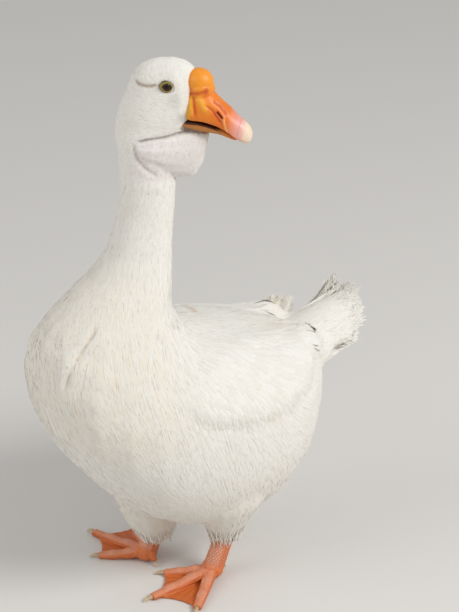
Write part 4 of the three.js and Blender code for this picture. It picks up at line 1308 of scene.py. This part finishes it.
class Shader:
    """A material, and a way to add nodes whose inputs are values or other nodes' outputs."""

    def __init__(self, name, **inputs):
        self.material = bpy.data.materials.new(name)
        self.material.use_nodes = True
        self.tree = self.material.node_tree
        self.set_inputs(self.tree.nodes["Principled BSDF"], inputs)

    def set_inputs(self, node, inputs):
        for name, value in inputs.items():
            socket = node.inputs[int(name[1:]) if name[1:].isdigit() else name.replace("_", " ")]
            if isinstance(value, bpy.types.NodeSocket):
                self.tree.links.new(value, socket)
            else:
                socket.default_value = value

    def shade(self, **inputs):
        """Inputs of the surface itself."""
        self.set_inputs(self.tree.nodes["Principled BSDF"], inputs)

    def add(self, kind, output, settings=(), **inputs):
        """A node's output; inputs are named, or numbered as _0, _1 and so on."""
        node = self.tree.nodes.new(f"ShaderNode{kind}")
        for name, value in dict(settings).items():
            setattr(node, name, value)
        self.set_inputs(node, inputs)
        return node.outputs[output]

    def attribute(self, name, output):
        return self.add("Attribute", output, {"attribute_name": name})

    def times(self, first, second):
        return self.add("Math", "Value", {"operation": "MULTIPLY"}, _0=first, _1=second)

    def scaled(self, colour, scale):
        return self.add("VectorMath", "Vector", {"operation": "SCALE"}, _0=colour, Scale=scale)

    def bumps(self, height, strength, distance):
        return self.add("Bump", "Normal", Strength=strength, Distance=distance, Height=height)


def plumage_material():
    """White feathers: each a little different, with fine lengthwise strands of cream shade."""
    feathers = Shader("white_feathers", Roughness=0.75, Specular_IOR_Level=0.2, Sheen_Weight=0.15)
    add, times = feathers.add, feathers.times
    tuft = feathers.attribute("tuft", "Fac")
    vane = add("UVMap", "UV", {"uv_map": "Vane"})
    across, along = (add("SeparateXYZ", axis, Vector=vane) for axis in "XY")
    stretched = add("CombineXYZ", "Vector", X=times(across, 2.6), Y=times(along, 0.16), Z=times(tuft, 90))
    strands = add("TexNoise", "Fac", Vector=stretched, Scale=1.0, Detail=3.0, Roughness=0.55)
    fine = add("MapRange", "Result", Value=strands, From_Min=0.35, From_Max=0.65, To_Min=0.94, To_Max=1.0)
    each = add("MapRange", "Result", Value=tuft, To_Min=0.95, To_Max=1.0)
    light = times(fine, each)
    warm = add("MapRange", "Result", Value=light, From_Min=0.90, From_Max=0.97)
    tint = feathers.tree.nodes.new("ShaderNodeMix")
    tint.data_type = "RGBA"
    feathers.set_inputs(tint, {"Factor": warm, "A": (1.0, 0.965, 0.90, 1), "B": (1, 1, 1, 1)})
    shaded = feathers.scaled(feathers.attribute("marking_and_shade", "Color"), light)
    colour = add("VectorMath", "Vector", {"operation": "MULTIPLY"}, _0=shaded, _1=tint.outputs["Result"])
    feathers.shade(Base_Color=colour, Normal=feathers.bumps(strands, 0.25, 0.0003))
    return feathers.material


def detail_material(name, roughness, grain, relief, variation, specular=0.5, coat=0.0):
    """Marked colour with a fine mottle, and a grain of small cells as relief; sizes in metres."""
    detail = Shader(name, Specular_IOR_Level=specular, Coat_Weight=coat)
    place = detail.add("NewGeometry", "Position")
    mottle = detail.add("TexNoise", "Fac", Vector=place, Scale=0.35 / grain, Detail=4.0, Roughness=0.6)
    cells = detail.add("TexVoronoi", "Distance", Vector=place, Scale=1 / grain)

    def spread_over(low, high):
        return detail.add("MapRange", "Result", Value=mottle, From_Min=0.3, From_Max=0.7,
                          To_Min=low, To_Max=high)

    colour = detail.scaled(detail.attribute("marking_and_shade", "Color"),
                           spread_over(1 - variation, 1 + variation * 0.4))
    detail.shade(Base_Color=colour, Normal=detail.bumps(cells, 0.6, relief),
                 Roughness=spread_over(roughness * 0.85, min(1.0, roughness * 1.2)))
    return detail.material


# ------------------------------------------------------------------ putting the goose together

# How a kind of feather differs from the sizes at its place on the skin: length, width and lift as
# shares of them, 'stray' as the spread of its way in radians, 'uneven' and 'ragged' as the spread
# of its lift and of its outline, 'settle' for how soon it rises, and 'thick' in mm.
PLAIN = {"long": 1, "wide": 1, "lift": 1, "stray": 0.06, "uneven": 0.04, "ragged": 0.06, "settle": 4,
         "thick": 0.16, "section": SMALL_SECTION, "camber": 0.12}
UNDER = {"wide": 1.25, "lift": 0.7, "thick": 0.12, "uneven": 0.03}
OVER = {"wide": 0.34, "long": 0.85, "lift": 0.86, "stray": 0.10, "thick": 0.09, "uneven": 0.05,
        "camber": 0.16}
FACE = {"wide": 1.2, "thick": 0.12, "stray": 0.10}
WING = {"wide": 1.2, "thick": 0.2, "uneven": 0.03, "settle": 2.6, "section": LARGE_SECTION,
        "camber": 0.11, "ragged": 0.025}
LID_EDGE = 0.93  # share of a ring of lids within which nothing grows
BILL_OVERLAP = 1.2  # how far past the feathers' edge they still grow, in mm
STUMP_END = 20 * MM  # the bare end of the tail's flesh, inside the fan
# Pieces of the coat: the nodes they grow on, their outline and style, and a share of the spacing.
NECK = ["neck_upper", "neck_lower"]
THIGHS = ["thigh_left", "thigh_right"]
GROUPS = {
    "coat_head": (["head"], SOFT, FACE, 1.0),
    "coat_dewlap": (["dewlap"], SOFT, FACE, 1.0),
    "coat_neck": (NECK, ROUNDED, UNDER, 1.0),
    "coat_neck_locks": (NECK, LANCE, OVER, 0.92),
    "coat_body": (["trunk", "tail"], ROUNDED, UNDER, 1.0),
    "coat_body_locks": (["trunk", "tail"], LANCE, OVER, 0.88),
    "coat_wings": (WINGS, QUILL, WING, 1.0),
    "coat_thighs": (THIGHS, ROUNDED, UNDER, 1.0),
    "coat_thigh_locks": (THIGHS, LANCE, OVER, 0.9),
}


def build_skin_piece(skin, material):
    piece = make_mesh("skin", skin.position, skin.triangles)
    skin.corner_uv = unwrap(piece)
    set_uv(piece, "Vane", skin.position[:, [0, 2]] / MM)
    tuft = np.full(len(skin.position), 0.5)
    set_tuft(piece, tuft)
    finish_piece(piece, marking_and_shade(skin.position, tuft), material)
    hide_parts(*FLESH, "tail")


def where_feathers_grow(skin):
    """Not within the rings of lids, past the feathers' edge at the bill, or at the stump's end."""
    beside_eyes = np.minimum(eye_share(skin.position, -1), eye_share(skin.position, 1)) > LID_EDGE
    _, out, up, near = world_to_head(skin.position)
    on_bill = near & (up > 10) & (feather_edge(out, up) > BILL_OVERLAP)
    along_tail = skin.position @ TAIL_BACK
    return beside_eyes & ~on_bill & (along_tail < along_tail.max() - STUMP_END)


def build_coat(skin, material):
    clear = where_feathers_grow(skin)
    for name, (nodes, outline, style, spacing) in GROUPS.items():
        allowed = np.any([skin.owned[node] for node in nodes], axis=0) & clear
        coat_piece(name, grow(skin, *scatter(skin, allowed, spacing), outline, style), material)
    large = {"tail_feathers": tail_fan(skin)}
    large.update({name: tail_coverts(skin, *values) for name, values in COVERTS.items()})
    large.update({name: raised_feathers(skin, *values) for name, values in RAISED.items()})
    for name, feathers in large.items():
        coat_piece(name, feathers, material)
        each, long = BARBS.get(name, BARBS["others"])
        coat_piece(f"{name}_barbs", barbs(feathers, each, long), material)
    for node, values in STRANDS.items():
        coat_piece(f"strands_{node}", loose_strands(skin, node, *values), material)


FEATHERS = plumage_material()
SKIN = build_skin()
build_skin_piece(SKIN, FEATHERS)
build_coat(SKIN, FEATHERS)
build_upper_bill(detail_material("bill_skin", 0.42, 0.0011, 0.00012, 0.07))
build_lower_bill(detail_material("bill_edge", 0.5, 0.0009, 0.0001, 0.15))
build_nail(detail_material("nail_horn", 0.35, 0.0012, 0.00005, 0.08))
build_eyes(detail_material("eyeball", 0.05, 0.0006, 0.0, 0.25, specular=0.35),
           detail_material("lid_skin", 0.5, 0.0006, 0.00012, 0.2))
LEG_SKIN = detail_material("leg_skin", 0.5, 0.0014, 0.00018, 0.14)
for leg_side in HUBS:
    build_leg(leg_side, LEG_SKIN)
build_claws(detail_material("claw_horn", 0.4, 0.001, 0.00006, 0.15))


# ------------------------------------------------------------------ floor, light and camera

FLOOR_REACH = 40.0
LIGHTS_MEET = Vector((0, 0, 0.3))
# The camera: how far over the floor from a point 'aside' of the goose's origin, how high, both in
# mm, from which side, how far it looks down, and its focal length in image heights.
CAMERA = {"away": 2000, "height": 1400, "aside": 40.3, "azimuth": math.radians(55),
          "pitch": math.radians(26.8), "lens": 1820 / 612, "sensor": 36}


def build_floor():
    corners = np.array([[-1, -1, 0], [1, -1, 0], [1, 1, 0], [-1, 1, 0]]) * FLOOR_REACH
    floor = make_mesh("floor", corners, [[0, 1, 2, 3]])
    pale = Shader("pale_floor", Base_Color=(0.72, 0.70, 0.67, 1), Roughness=0.9)
    floor.data.materials.append(pale.material)


def area_light(name, place, size, power):
    """A round soft light that points at the goose."""
    data = bpy.data.lights.new(name, "AREA")
    data.shape = "DISK"
    data.size = size
    data.energy = power
    light = bpy.data.objects.new(name, data)
    light.location = place
    light.rotation_euler = (LIGHTS_MEET - Vector(place)).to_track_quat("-Z", "Y").to_euler()
    bpy.context.scene.collection.objects.link(light)


def build_lights():
    world = bpy.data.worlds.new("studio")
    world.use_nodes = True
    background = world.node_tree.nodes["Background"]
    background.inputs["Color"].default_value = (1, 1, 1, 1)
    background.inputs["Strength"].default_value = 0.5
    bpy.context.scene.world = world
    area_light("key", (2.6, 1.2, 2.6), size=1.4, power=78)
    area_light("fill", (-0.5, -3.0, 1.8), size=2.0, power=24)


def build_camera():
    data = bpy.data.cameras.new("camera")
    data.sensor_width = CAMERA["sensor"]
    data.lens = CAMERA["lens"] * CAMERA["sensor"]
    camera = bpy.data.objects.new("camera", data)
    sine, cosine = math.sin(CAMERA["azimuth"]), math.cos(CAMERA["azimuth"])
    dip = CAMERA["pitch"]
    camera.location = goose_to_world(CAMERA["aside"] + CAMERA["away"] * sine,
                                     -CAMERA["away"] * cosine, CAMERA["height"])
    ahead = Vector((-sine * math.cos(dip), cosine * math.cos(dip), -math.sin(dip)))
    camera.rotation_euler = ahead.to_track_quat("-Z", "Y").to_euler()
    bpy.context.scene.collection.objects.link(camera)
    bpy.context.scene.camera = camera


build_floor()
build_lights()
build_camera()
bpy.context.scene.view_settings.view_transform = "Standard"
